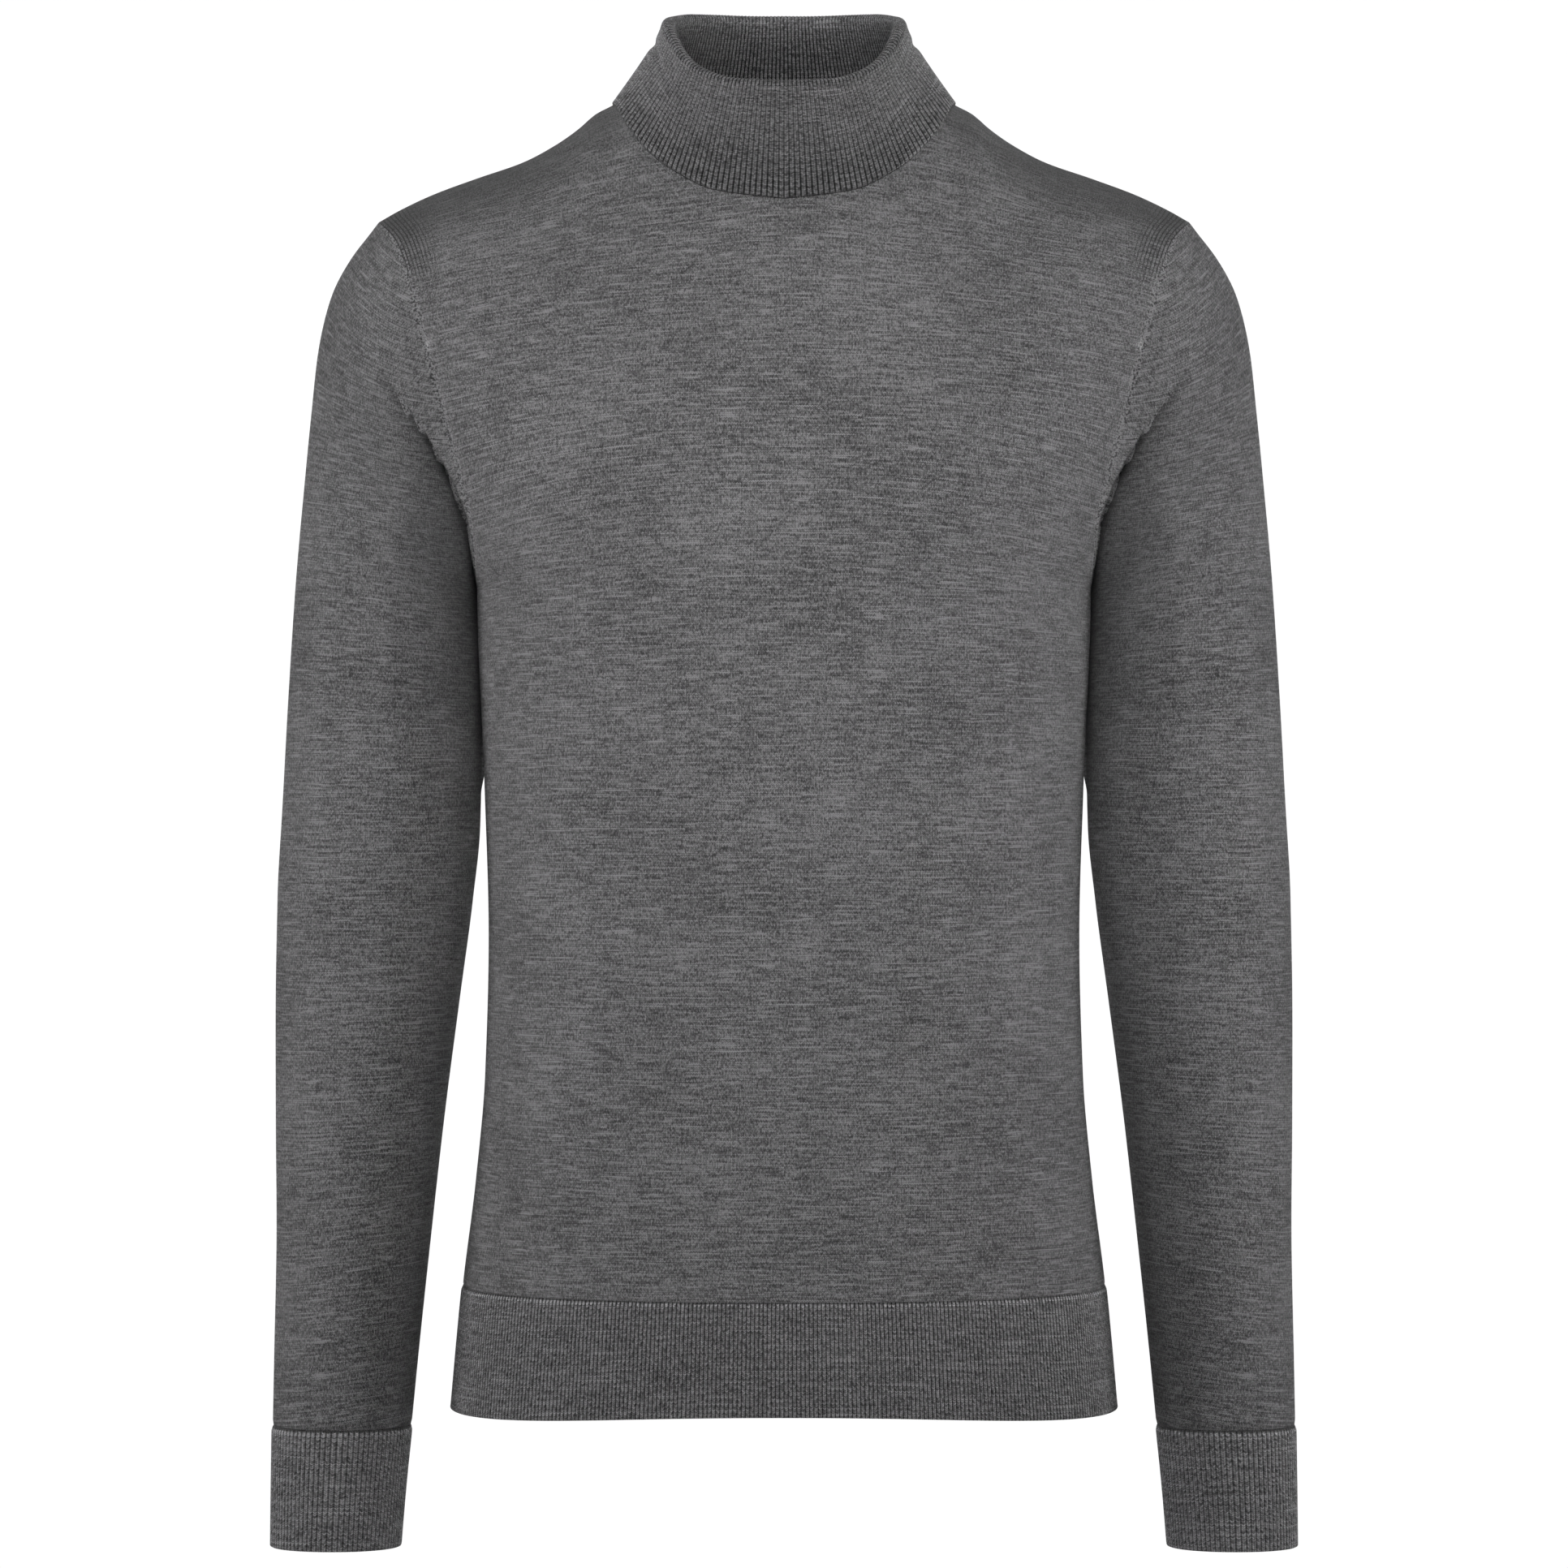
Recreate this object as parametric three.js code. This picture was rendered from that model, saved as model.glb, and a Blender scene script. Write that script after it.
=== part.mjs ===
// A fine-knit turtleneck sweater, filled out and hanging as it does when it is worn, with nobody in it.
//
// Frame: millimetres, +Z up, the front of the sweater faces -Y, the wearer's left is +X.
// The origin is the middle of the neck at the height where the shoulders carry the sweater.
// Every piece is a wall of cloth with its outer face worked out from the sections below.
// The front, the back, the two hem ribs, the sleeves, the cuffs and the turned-down collar are separate
// pieces that meet at the seams with a hairline gap.

import * as THREE from "three";

// Cloth and seams
const PLAIN_CLOTH = 1.6;
const RIB_CLOTH = 1.7;
const RIB_RELIEF = 0.6;
const SEAM = 0.3;

// Heights of the main lines of the sweater
const UNDERARM_Z = -250;
const HEM_SEAM_Z = -609.5;
const HEM_END_Z = -673;
const HEM_CENTRE_LIFT = 6;

// Neck hole, where the collar is linked to the front and the back
const NECK_HALF_WIDTH = 75;
const NECK_SIDE_Z = 9.5;
const NECK_FRONT_Z = -42;
const NECK_BACK_Z = 4;

// Turned-down collar
const FOLD_HALF_WIDTH = 59.6;
const FOLD_HALF_DEPTH = 62;
const FOLD_CENTRE_Y = -10;
const FOLD_RADIUS = 2.4;
const STANDING_DRAW_IN = 2;
const COLLAR_EDGE_HALF_WIDTH = 87.5;
const COLLAR_EDGE_LIFT = 2.7;

// One-by-one ribs all round each ribbed piece
const COLLAR_RIBS = 190;
const HEM_RIBS_PER_SIDE = 200;
const CUFF_RIBS = 84;

// How square the cross sections are: 2 is an ellipse
const TRUNK_SQUARENESS = 2.3;
const SLEEVE_SQUARENESS = 2.1;

// Grid of a body panel and a sleeve
const NECK_COLUMNS = 6;
const SHOULDER_COLUMNS = 6;
const TRUNK_BANDS = 9;
const ARMHOLE_BANDS = 12;

// The ridge of the shoulder, from the neck hole out to the shoulder point
const SHOULDER_LINE = [
  { x: 75, z: 9.5 },
  { x: 87.5, z: 0.2 },
  { x: 97, z: -4.8 },
  { x: 106, z: -12.6 },
  { x: 118, z: -21 },
  { x: 134.5, z: -29.8 },
  { x: 158, z: -38 },
  { x: 180.5, z: -46.3 },
  { x: 198, z: -54.5 },
  { x: 209.5, z: -61 },
];
const SHOULDER_POINT = SHOULDER_LINE[SHOULDER_LINE.length - 1];

// The trunk: half width at the side seams, and depth from the side seam plane to the front and back
const TRUNK = [
  { z: -680, width: 172.5, front: 112, back: 113 },
  { z: -610, width: 166, front: 111, back: 113 },
  { z: -555, width: 159.2, front: 109, back: 108 },
  { z: -500, width: 154.4, front: 107, back: 99 },
  { z: -430, width: 152.6, front: 107, back: 91 },
  { z: -350, width: 154.8, front: 112, back: 98 },
  { z: -250, width: 158.5, front: 120, back: 112 },
  { z: -190, width: 158.5, front: 121, back: 116 },
  { z: -120, width: 158.5, front: 112, back: 112 },
  { z: -60, width: 158.5, front: 96, back: 100 },
  { z: 0, width: 158.5, front: 84, back: 82 },
  { z: 20, width: 158.5, front: 80, back: 76 },
];

// The armhole seam: distance from the middle on the front and the back, and how much of the trunk's
// depth is left there
const ARMHOLE = [
  { z: -250, front: 158.5, back: 158.5, depthLeft: 0 },
  { z: -247, front: 158.2, back: 159, depthLeft: 0.2 },
  { z: -240, front: 158, back: 160.5, depthLeft: 0.34 },
  { z: -220, front: 159, back: 165, depthLeft: 0.45 },
  { z: -197, front: 163.5, back: 171, depthLeft: 0.5 },
  { z: -165, front: 172, back: 180, depthLeft: 0.53 },
  { z: -130, front: 181, back: 189, depthLeft: 0.57 },
  { z: -95, front: 190, back: 198, depthLeft: 0.62 },
  { z: -75, front: 197.5, back: 203.5, depthLeft: 0.66 },
  { z: -61, front: 209.5, back: 209.5, depthLeft: 0.7 },
];

// The heights of the collar's roll and lower edge, by how far round they are from the middle of the front
const COLLAR = [
  { turn: 0, fold: 1.1, edge: -57.5 },
  { turn: 23, fold: 2.5, edge: -53 },
  { turn: 38, fold: 6.8, edge: -43.5 },
  { turn: 52, fold: 13.9, edge: -31 },
  { turn: 64, fold: 23, edge: -16.5 },
  { turn: 77, fold: 33.5, edge: -3.5 },
  { turn: 90, fold: 40, edge: 0 },
  { turn: 108, fold: 44, edge: -2.5 },
  { turn: 127, fold: 47.4, edge: -6 },
  { turn: 150, fold: 49, edge: -10 },
  { turn: 180, fold: 49.7, edge: -12 },
];

// A sleeve, section by section: the outer and inner edge seen from the front, depth to the front and
// back, how far the section's middle lies behind the side seam plane, and how far the section has
// turned from the armhole's own shape (0) into a rounded tube (1)
const SLEEVE = [
  { outX: 214, outZ: -67, inX: 160.2, inZ: -246.5, front: 60, back: 60, behind: 0, round: 0.12 },
  { outX: 224, outZ: -80, inX: 162.4, inZ: -248.5, front: 59, back: 60, behind: 1, round: 0.32 },
  { outX: 234, outZ: -99, inX: 162.6, inZ: -254, front: 57, back: 58, behind: 2, round: 0.55 },
  { outX: 241, outZ: -127, inX: 162, inZ: -261, front: 54, back: 56, behind: 4, round: 0.78 },
  { outX: 244.8, outZ: -160, inX: 161.2, inZ: -270, front: 51, back: 54, behind: 5, round: 0.93 },
  { outX: 248.6, outZ: -198, inX: 160.2, inZ: -282, front: 50, back: 53, behind: 6, round: 1 },
  { outX: 252.8, outZ: -244, inX: 158.8, inZ: -302, front: 49, back: 52, behind: 7, round: 1 },
  { outX: 256.6, outZ: -300, inX: 156.9, inZ: -333, front: 48, back: 51, behind: 8, round: 1 },
  { outX: 260, outZ: -362, inX: 157.6, inZ: -372, front: 47, back: 50, behind: 8, round: 1 },
  { outX: 262.6, outZ: -410, inX: 161.6, inZ: -412, front: 46, back: 48, behind: 8, round: 1 },
  { outX: 263.3, outZ: -465, inX: 168.5, inZ: -465, front: 45, back: 46, behind: 5, round: 1 },
  { outX: 262.8, outZ: -525, inX: 176, inZ: -525, front: 42, back: 42, behind: 0, round: 1 },
  { outX: 261.9, outZ: -585, inX: 182.4, inZ: -585, front: 39, back: 39, behind: -6, round: 1 },
  { outX: 262.6, outZ: -640, inX: 188, inZ: -640, front: 35, back: 35, behind: -11, round: 1 },
  { outX: 263.1, outZ: -680.7, inX: 191.8, inZ: -680.7, front: 31, back: 31, behind: -15, round: 1 },
];
const CUFF = [
  { outX: 263.2, outZ: -681, inX: 191.8, inZ: -681, front: 31, back: 31, behind: -15 },
  { outX: 263.4, outZ: -712, inX: 194.8, inZ: -712, front: 28.5, back: 28.5, behind: -18 },
  { outX: 263.5, outZ: -742.3, inX: 197.2, inZ: -742.3, front: 26.5, back: 26.5, behind: -21 },
];

// The crease where a hanging sleeve folds in under the armhole, as a line seen from the front. The cloth
// sinks by depth along it, sharply towards the body and softly over width towards the sleeve.
const CREASE = [
  { x: 203, z: -140, depth: 0, width: 9 },
  { x: 190, z: -160, depth: 4, width: 11 },
  { x: 177, z: -181, depth: 8, width: 14 },
  { x: 167, z: -205, depth: 11, width: 18 },
  { x: 161, z: -225, depth: 11, width: 22 },
  { x: 158.5, z: -250, depth: 8, width: 24 },
  { x: 157, z: -300, depth: 0, width: 24 },
];
const CREASE_SHARPNESS = 0.45;
const BACK_CREASE_SHARE = 0.8;

const KNIT_GREY = new THREE.MeshStandardMaterial({ color: 0x5f5e5f, roughness: 0.95, metalness: 0 });
const RIB_GREY = new THREE.MeshStandardMaterial({ color: 0x555455, roughness: 0.95, metalness: 0 });

// Small helpers

const lerp = (a, b, t) => a + (b - a) * t;
const radians = (degrees) => (degrees * Math.PI) / 180;
const signedPower = (value, power) => Math.sign(value) * Math.abs(value) ** power;

// A smooth function through a table, from one named column to another, flat beyond its ends.
function through(table, from, to) {
  const rows = [...table].sort((a, b) => a[from] - b[from]);
  const slope = rows.map((row, i) => {
    const before = rows[Math.max(i - 1, 0)];
    const after = rows[Math.min(i + 1, rows.length - 1)];
    const left = (row[to] - before[to]) / (row[from] - before[from] || 1);
    const right = (after[to] - row[to]) / (after[from] - row[from] || 1);
    if (i === 0) return right;
    if (i === rows.length - 1) return left;
    return left * right <= 0 ? 0 : (2 * left * right) / (left + right);
  });
  return (at) => {
    if (at <= rows[0][from]) return rows[0][to];
    const i = rows.findIndex((row) => row[from] >= at);
    if (i < 0) return rows[rows.length - 1][to];
    const [a, b] = [rows[i - 1], rows[i]];
    const step = b[from] - a[from];
    const t = (at - a[from]) / step;
    return (
      a[to] * (1 + 2 * t) * (1 - t) ** 2 +
      slope[i - 1] * step * t * (1 - t) ** 2 +
      b[to] * t ** 2 * (3 - 2 * t) +
      slope[i] * step * t ** 2 * (t - 1)
    );
  };
}

// Normals of a grid of points, facing the side where rows run up and columns run to the right.
function gridNormals(grid, closed) {
  return grid.map((row, r) =>
    row.map((_, c) => {
      const count = row.length;
      const left = closed ? row[(c + count - 1) % count] : row[Math.max(c - 1, 0)];
      const right = closed ? row[(c + 1) % count] : row[Math.min(c + 1, count - 1)];
      const below = grid[Math.max(r - 1, 0)][c];
      const above = grid[Math.min(r + 1, grid.length - 1)][c];
      const across = new THREE.Vector3().subVectors(right, left);
      const upward = new THREE.Vector3().subVectors(above, below);
      return across.cross(upward).normalize();
    }),
  );
}

const moved = (point, direction, distance) => point.clone().addScaledVector(direction, distance);

const offsetGrid = (grid, distance, closed) => {
  const normals = gridNormals(grid, closed);
  return grid.map((row, r) => row.map((point, c) => moved(point, normals[r][c], distance)));
};

// Collects triangles and turns them into one closed body.
class Skin {
  constructor() {
    this.positions = [];
    this.leansLeft = false;
  }

  triangle(a, b, c) {
    for (const p of [a, b, c]) this.positions.push(p.x, p.y, p.z);
  }

  // A strip between two lines that may have different numbers of points.
  strip(low, high) {
    let [i, j] = [0, 0];
    while (i < low.length - 1 || j < high.length - 1) {
      const lowNext = (i + 1) / (low.length - 1);
      const highNext = (j + 1) / (high.length - 1);
      const lowFirst = this.leansLeft ? lowNext < highNext : lowNext <= highNext;
      if (j === high.length - 1 || (i < low.length - 1 && lowFirst)) {
        this.triangle(low[i], low[i + 1], high[j]);
        i += 1;
      } else {
        this.triangle(low[i], high[j + 1], high[j]);
        j += 1;
      }
    }
  }

  grid(rows) {
    for (let r = 0; r + 1 < rows.length; r += 1) this.strip(rows[r], rows[r + 1]);
  }

  geometry() {
    const geometry = new THREE.BufferGeometry();
    geometry.setAttribute("position", new THREE.Float32BufferAttribute(this.positions, 3));
    geometry.computeVertexNormals();
    return geometry;
  }
}

const backwards = (list) => [...list].reverse();
const column = (grid, c) => grid.map((row) => row[c]);
const looped = (grid) => grid.map((row) => [...row, row[0]]);

// The same half of each row of a grid: the first or the second.
const halfOf = (grid, second) =>
  grid.map((row) => {
    const middle = (row.length - 1) / 2;
    return second ? row.slice(middle) : row.slice(0, middle + 1);
  });

// A wall between an outer and an inner grid. Rows run from the bottom up and from the left to the right
// as seen from outside. A wall that closes on itself as a tube has no side ends.
function wall(outer, inner, closed) {
  const skin = new Skin();
  const [out, back] = closed ? [looped(outer), looped(inner)] : [outer, inner];
  for (const second of [false, true]) {
    const [outHalf, backHalf] = [halfOf(out, second), halfOf(back, second)];
    skin.leansLeft = !second;
    skin.grid(outHalf);
    skin.strip(outHalf[outHalf.length - 1], backHalf[backHalf.length - 1]);
    skin.leansLeft = second;
    skin.grid(backHalf.map(backwards));
    skin.strip(backwards(outHalf[0]), backwards(backHalf[0]));
  }
  if (!closed) {
    const [end, backEnd] = [out[0].length - 1, back[0].length - 1];
    skin.leansLeft = true;
    skin.strip(backwards(column(out, end)), backwards(column(back, backEnd)));
    skin.leansLeft = false;
    skin.strip(column(out, 0), column(back, 0));
  }
  return skin.geometry();
}

// A tube's grid mirrored to the wearer's right. Its rows still start at the same place.
const mirroredGrid = (grid) =>
  grid.map(([first, ...rest]) => [first, ...backwards(rest)].map((p) => new THREE.Vector3(-p.x, p.y, p.z)));

// The trunk's surface

const trunkWidth = through(TRUNK, "z", "width");
const ridgeZ = through(SHOULDER_LINE, "x", "z");

const SIDES = {
  front: {
    sign: -1,
    depth: through(TRUNK, "z", "front"),
    armholeX: through(ARMHOLE, "z", "front"),
    neckZ: NECK_FRONT_Z,
    neckRise: 16,
  },
  back: {
    sign: 1,
    depth: through(TRUNK, "z", "back"),
    armholeX: through(ARMHOLE, "z", "back"),
    neckZ: NECK_BACK_Z,
    neckRise: 40,
  },
};
const depthLeft = through(ARMHOLE, "z", "depthLeft");
const SHOULDER_ROUNDING = { neck: 120, point: 60 };

// The height at which the front and the back would meet over a place x from the middle.
function crestZ(side, x) {
  if (x >= NECK_HALF_WIDTH) return ridgeZ(x);
  return NECK_SIDE_Z + side.neckRise * (1 - (x / NECK_HALF_WIDTH) ** 2);
}

// The trunk's depth at a place x from the middle and a height z, before the shoulders round it off.
function trunkDepth(side, x, z) {
  const edgeX = z > UNDERARM_Z ? side.armholeX(z) : trunkWidth(z);
  const left = z > UNDERARM_Z ? depthLeft(z) : 0;
  const across = Math.min(x / edgeX, 1);
  const n = TRUNK_SQUARENESS;
  return side.depth(z) * Math.max(1 - (1 - left ** n) * across ** n, 0) ** (1 / n);
}

// How far a place lies below the shoulder's crest: 0 on the crest, 1 where the rounding ends.
function shoulderFall(side, x, z) {
  const rounding = lerp(SHOULDER_ROUNDING.neck, SHOULDER_ROUNDING.point, x / SHOULDER_POINT.x);
  return Math.min((crestZ(side, x) - z) / rounding, 1);
}

// The trunk's surface at a place x from the middle and a height z.
function trunkPoint(side, x, z) {
  const below = Math.max(shoulderFall(side, x, z), 0);
  const arch = Math.sqrt(1 - (1 - below) ** 2);
  return new THREE.Vector3(x, side.sign * (trunkDepth(side, x, z) * arch + SEAM / 2), z);
}

// The direction straight out of the trunk's surface at one of its points.
function trunkNormal(side, point) {
  const reach = (x, y, z) => {
    const flat = trunkDepth(side, Math.abs(x), z);
    const below = shoulderFall(side, Math.abs(x), z);
    return (y / flat) ** 2 + (1 - below) ** 2;
  };
  const { x, y, z } = point;
  const step = 0.5;
  return new THREE.Vector3(
    reach(x + step, y, z) - reach(x - step, y, z),
    reach(x, y + step, z) - reach(x, y - step, z),
    reach(x, y, z + step) - reach(x, y, z - step),
  ).normalize();
}

// The top edge of a panel: half of the neck hole, then the shoulder seam. u runs from 0 to 1.
const NECK_SHARE = NECK_COLUMNS / (NECK_COLUMNS + SHOULDER_COLUMNS);
function topEdge(side, u) {
  if (u <= NECK_SHARE) {
    const turn = radians((90 * u) / NECK_SHARE);
    return {
      x: NECK_HALF_WIDTH * Math.sin(turn),
      z: side.neckZ + (NECK_SIDE_Z - side.neckZ) * (1 - Math.cos(turn)),
    };
  }
  const x = lerp(NECK_HALF_WIDTH, SHOULDER_POINT.x, (u - NECK_SHARE) / (1 - NECK_SHARE));
  return { x, z: ridgeZ(x) };
}

// One row of half a panel above the underarm. rise runs from 0 at the underarm to 1 at the top edge.
function upperRow(side, rise, us) {
  const edgeZ = lerp(UNDERARM_Z, SHOULDER_POINT.z, rise);
  return us.map((u) => {
    const top = topEdge(side, u);
    const round = Math.sin(radians(90 * u)) ** (2 / TRUNK_SQUARENESS);
    const share = lerp(round, top.x / SHOULDER_POINT.x, rise ** 1.5);
    return trunkPoint(side, side.armholeX(edgeZ) * share, lerp(UNDERARM_Z, top.z, rise));
  });
}

function lowerRow(side, z, us) {
  return us.map((u) => {
    const round = Math.sin(radians(90 * u)) ** (2 / TRUNK_SQUARENESS);
    return trunkPoint(side, trunkWidth(z) * round, z);
  });
}

const PANEL_COLUMNS = NECK_COLUMNS + SHOULDER_COLUMNS;
const panelUs = Array.from({ length: PANEL_COLUMNS + 1 }, (_, i) => i / PANEL_COLUMNS);

// The outer face of the front or the back, row by row from the hem seam up, left to right as seen
// from outside.
function panelGrid(side) {
  const rows = [];
  for (let i = 0; i < TRUNK_BANDS; i += 1)
    rows.push(lowerRow(side, lerp(HEM_SEAM_Z, UNDERARM_Z, i / TRUNK_BANDS), panelUs));
  for (let i = 0; i <= ARMHOLE_BANDS; i += 1)
    rows.push(upperRow(side, (1 - Math.cos((Math.PI * i) / ARMHOLE_BANDS)) / 2, panelUs));
  return rows.map((row) => wholeRow(side, row));
}

// A half row, from the middle out, mirrored into a whole one.
function wholeRow(side, row) {
  const mirrored = backwards(row.slice(1)).map((p) => new THREE.Vector3(-p.x, p.y, p.z));
  const whole = [...mirrored, ...row];
  return side.sign < 0 ? whole : backwards(whole);
}

// The inner face of a panel, kept on its own side of the side and shoulder seams.
function innerPanel(side, outer) {
  const limit = SEAM / 2;
  const inner = offsetGrid(outer, -PLAIN_CLOTH, false);
  for (const row of inner)
    for (const p of row) p.y = side.sign * Math.max(side.sign * p.y, limit);
  for (const p of inner[0]) p.z = HEM_SEAM_Z;
  return inner;
}

// Seams: a copy of an edge's outer and inner line, moved off its end face by the seam gap.
function acrossSeam(outer, inner, away) {
  const count = outer.length;
  const push = outer.map((point, i) => {
    const along = new THREE.Vector3().subVectors(outer[(i + 1) % count], outer[(i + count - 1) % count]);
    const thickness = new THREE.Vector3().subVectors(inner[i], point);
    const direction = along.cross(thickness).normalize();
    return direction.dot(away(point)) < 0 ? direction.negate() : direction;
  });
  return {
    outer: outer.map((p, i) => moved(p, push[i], SEAM)),
    inner: inner.map((p, i) => moved(p, push[i], SEAM)),
  };
}

// The four edges of the armhole come together as one loop, which starts at the shoulder point and runs
// down the back and up the front.
function armholeLoop(panels) {
  const pick = (grid, side) => {
    const right = side.sign < 0 ? grid[0].length - 1 : 0;
    return column(grid, right).slice(TRUNK_BANDS);
  };
  const join = (front, back) => [
    new THREE.Vector3().addVectors(front[ARMHOLE_BANDS], back[ARMHOLE_BANDS]).multiplyScalar(0.5),
    ...backwards(back).slice(1, -1),
    new THREE.Vector3().addVectors(front[0], back[0]).multiplyScalar(0.5),
    ...front.slice(1, -1),
  ];
  return {
    outer: join(pick(panels.front.outer, SIDES.front), pick(panels.back.outer, SIDES.back)),
    inner: join(pick(panels.front.inner, SIDES.front), pick(panels.back.inner, SIDES.back)),
  };
}

// A point on a section of a sleeve or cuff. share runs from 0 at the outer edge over the back to the
// inner edge at a half, and on over the front.
function tubePoint(section, share) {
  const turn = 2 * Math.PI * share;
  const power = 2 / SLEEVE_SQUARENESS;
  const along = (1 + signedPower(Math.cos(turn), power)) / 2;
  const depth = Math.sin(turn) >= 0 ? section.back : section.front;
  return new THREE.Vector3(
    lerp(section.inX, section.outX, along),
    section.behind + depth * signedPower(Math.sin(turn), power),
    lerp(section.inZ, section.outZ, along),
  );
}

function tubeNormal(section, share) {
  const step = 1e-3;
  const [a, b] = [tubePoint(section, share - step), tubePoint(section, share + step)];
  return new THREE.Vector3(b.y - a.y, a.x - b.x, 0).normalize();
}

// The armhole loop carried to a section: its shape stays, its two ends move to the section's edges.
function carried(loop, section) {
  const half = loop.length / 2;
  const [shoulder, underarm] = [loop[0], loop[half]];
  const axis = new THREE.Vector2(shoulder.x - underarm.x, shoulder.z - underarm.z);
  const target = new THREE.Vector2(section.outX - section.inX, section.outZ - section.inZ);
  return loop.map((p) => {
    const away = new THREE.Vector2(p.x - underarm.x, p.z - underarm.z);
    const along = away.dot(axis) / axis.lengthSq();
    const aside = away.cross(axis) / axis.length();
    const unit = target.clone().normalize();
    return new THREE.Vector3(
      section.inX + target.x * along + unit.y * aside,
      p.y + section.behind,
      section.inZ + target.y * along - unit.x * aside,
    );
  });
}

// How far the crease sinks the cloth at a place seen from the front.
function creaseAt(x, z) {
  let nearest = { distance: Infinity };
  for (let i = 0; i + 1 < CREASE.length; i += 1) {
    const [a, b] = [CREASE[i], CREASE[i + 1]];
    const line = new THREE.Vector2(b.x - a.x, b.z - a.z);
    const away = new THREE.Vector2(x - a.x, z - a.z);
    const t = Math.min(Math.max(away.dot(line) / line.lengthSq(), 0), 1);
    const distance = away.clone().addScaledVector(line, -t).length();
    if (distance < nearest.distance)
      nearest = { distance, outboard: line.cross(away) > 0, depth: lerp(a.depth, b.depth, t), width: lerp(a.width, b.width, t) };
  }
  const width = nearest.width * (nearest.outboard ? 1 : CREASE_SHARPNESS);
  return nearest.depth * Math.exp(-((nearest.distance / width) ** 2));
}

function sleeveGrids(loop) {
  const seam = acrossSeam(loop.outer, loop.inner, (p) => new THREE.Vector3(1, 0, p.z < UNDERARM_Z + 20 ? 1 : 0));
  const rings = SLEEVE.map((section) => {
    const shaped = carried(loop.outer, section);
    return shaped.map((p, i) => {
      const share = i / shaped.length;
      const point = p.lerp(tubePoint(section, share), section.round);
      const direction = share > 0.5 ? 1 : -BACK_CREASE_SHARE;
      if (share % 0.5 > 0) point.y += direction * creaseAt(point.x, point.z);
      return point;
    });
  });
  const outer = backwards([seam.outer, ...rings]);
  const inner = offsetGrid(outer, -PLAIN_CLOTH, true);
  inner[inner.length - 1] = seam.inner;
  for (const p of inner[0]) p.z = outer[0][0].z;
  return { outer, inner };
}

// Ribs

// Points along a line between the ends of a row, alternately on a ridge and in a groove.
function ribbed(point, normal, ribs, closed) {
  const count = 2 * ribs + (closed ? 0 : 1);
  return Array.from({ length: count }, (_, i) => {
    const at = i / (2 * ribs);
    return moved(point(at), normal(at), i % 2 ? RIB_RELIEF : 0);
  });
}

// Hem rib of the front or the back
const HEM_COLUMNS = 24;
function hemPoint(side, at, level) {
  const turn = radians(180 * at - 90);
  const round = signedPower(Math.sin(turn), 2 / TRUNK_SQUARENESS);
  const lift = HEM_CENTRE_LIFT * Math.cos(turn) ** 4;
  const z = lerp(HEM_SEAM_Z - SEAM, HEM_END_Z + lift, level);
  const p = trunkPoint(side, trunkWidth(z) * Math.abs(round), z);
  return new THREE.Vector3(-side.sign * Math.sign(round) * p.x, p.y, p.z);
}

function hemNormal(side, at, level) {
  const step = 1e-3;
  const a = hemPoint(side, Math.max(at - step, 0), level);
  const b = hemPoint(side, Math.min(at + step, 1), level);
  return new THREE.Vector3(b.y - a.y, a.x - b.x, 0).normalize();
}

function hemGeometry(side) {
  const levels = [1, 0];
  const outer = levels.map((level) =>
    ribbed((at) => hemPoint(side, at, level), (at) => hemNormal(side, at, level), HEM_RIBS_PER_SIDE, false),
  );
  const inner = levels.map((level) =>
    Array.from({ length: HEM_COLUMNS + 1 }, (_, i) => {
      const at = i / HEM_COLUMNS;
      const p = moved(hemPoint(side, at, level), hemNormal(side, at, level), -RIB_CLOTH);
      p.y = side.sign * Math.max(side.sign * p.y, SEAM / 2);
      return p;
    }),
  );
  return wall(outer, inner, false);
}

// Cuff
const CUFF_COLUMNS = 24;
function cuffGrids() {
  const shares = Array.from({ length: CUFF_COLUMNS }, (_, i) => i / CUFF_COLUMNS);
  const sections = backwards(CUFF);
  return {
    outer: sections.map((section) =>
      ribbed((at) => tubePoint(section, at), (at) => tubeNormal(section, at), CUFF_RIBS, true),
    ),
    inner: sections.map((section) =>
      shares.map((at) => moved(tubePoint(section, at), tubeNormal(section, at), -RIB_CLOTH)),
    ),
  };
}

// Collar: a ribbed tube linked to the neck hole, standing up and turned down over itself.

// The neck edges of both panels as one loop, from the middle of the front to the wearer's left.
function neckLoop(panels) {
  const pick = (grid) => {
    const row = grid[grid.length - 1];
    return row.slice(PANEL_COLUMNS - NECK_COLUMNS, PANEL_COLUMNS + NECK_COLUMNS + 1);
  };
  const join = (front, back) => {
    const quarter = NECK_COLUMNS;
    const middle = (a, b) => new THREE.Vector3().addVectors(a, b).multiplyScalar(0.5);
    return [
      ...front.slice(quarter, 2 * quarter),
      middle(front[2 * quarter], back[0]),
      ...back.slice(1, 2 * quarter),
      middle(back[2 * quarter], front[0]),
      ...front.slice(1, quarter),
    ];
  };
  return {
    outer: join(pick(panels.front.outer), pick(panels.back.outer)),
    inner: join(pick(panels.front.inner), pick(panels.back.inner)),
  };
}

const collarTurn = (at) => 2 * Math.PI * at;
const foldZ = through(COLLAR, "turn", "fold");
const collarEdgeZ = through(COLLAR, "turn", "edge");

// How many degrees a place is round the neck from the middle of the front, on either side.
function degreesRound(at) {
  const share = ((at % 1) + 1) % 1;
  return 360 * Math.min(share, 1 - share);
}

// The middle of the roll at the top of the collar.
function foldPoint(at) {
  const turn = collarTurn(at);
  return new THREE.Vector3(
    FOLD_HALF_WIDTH * Math.sin(turn),
    FOLD_CENTRE_Y - FOLD_HALF_DEPTH * Math.cos(turn),
    foldZ(degreesRound(at)),
  );
}

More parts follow.
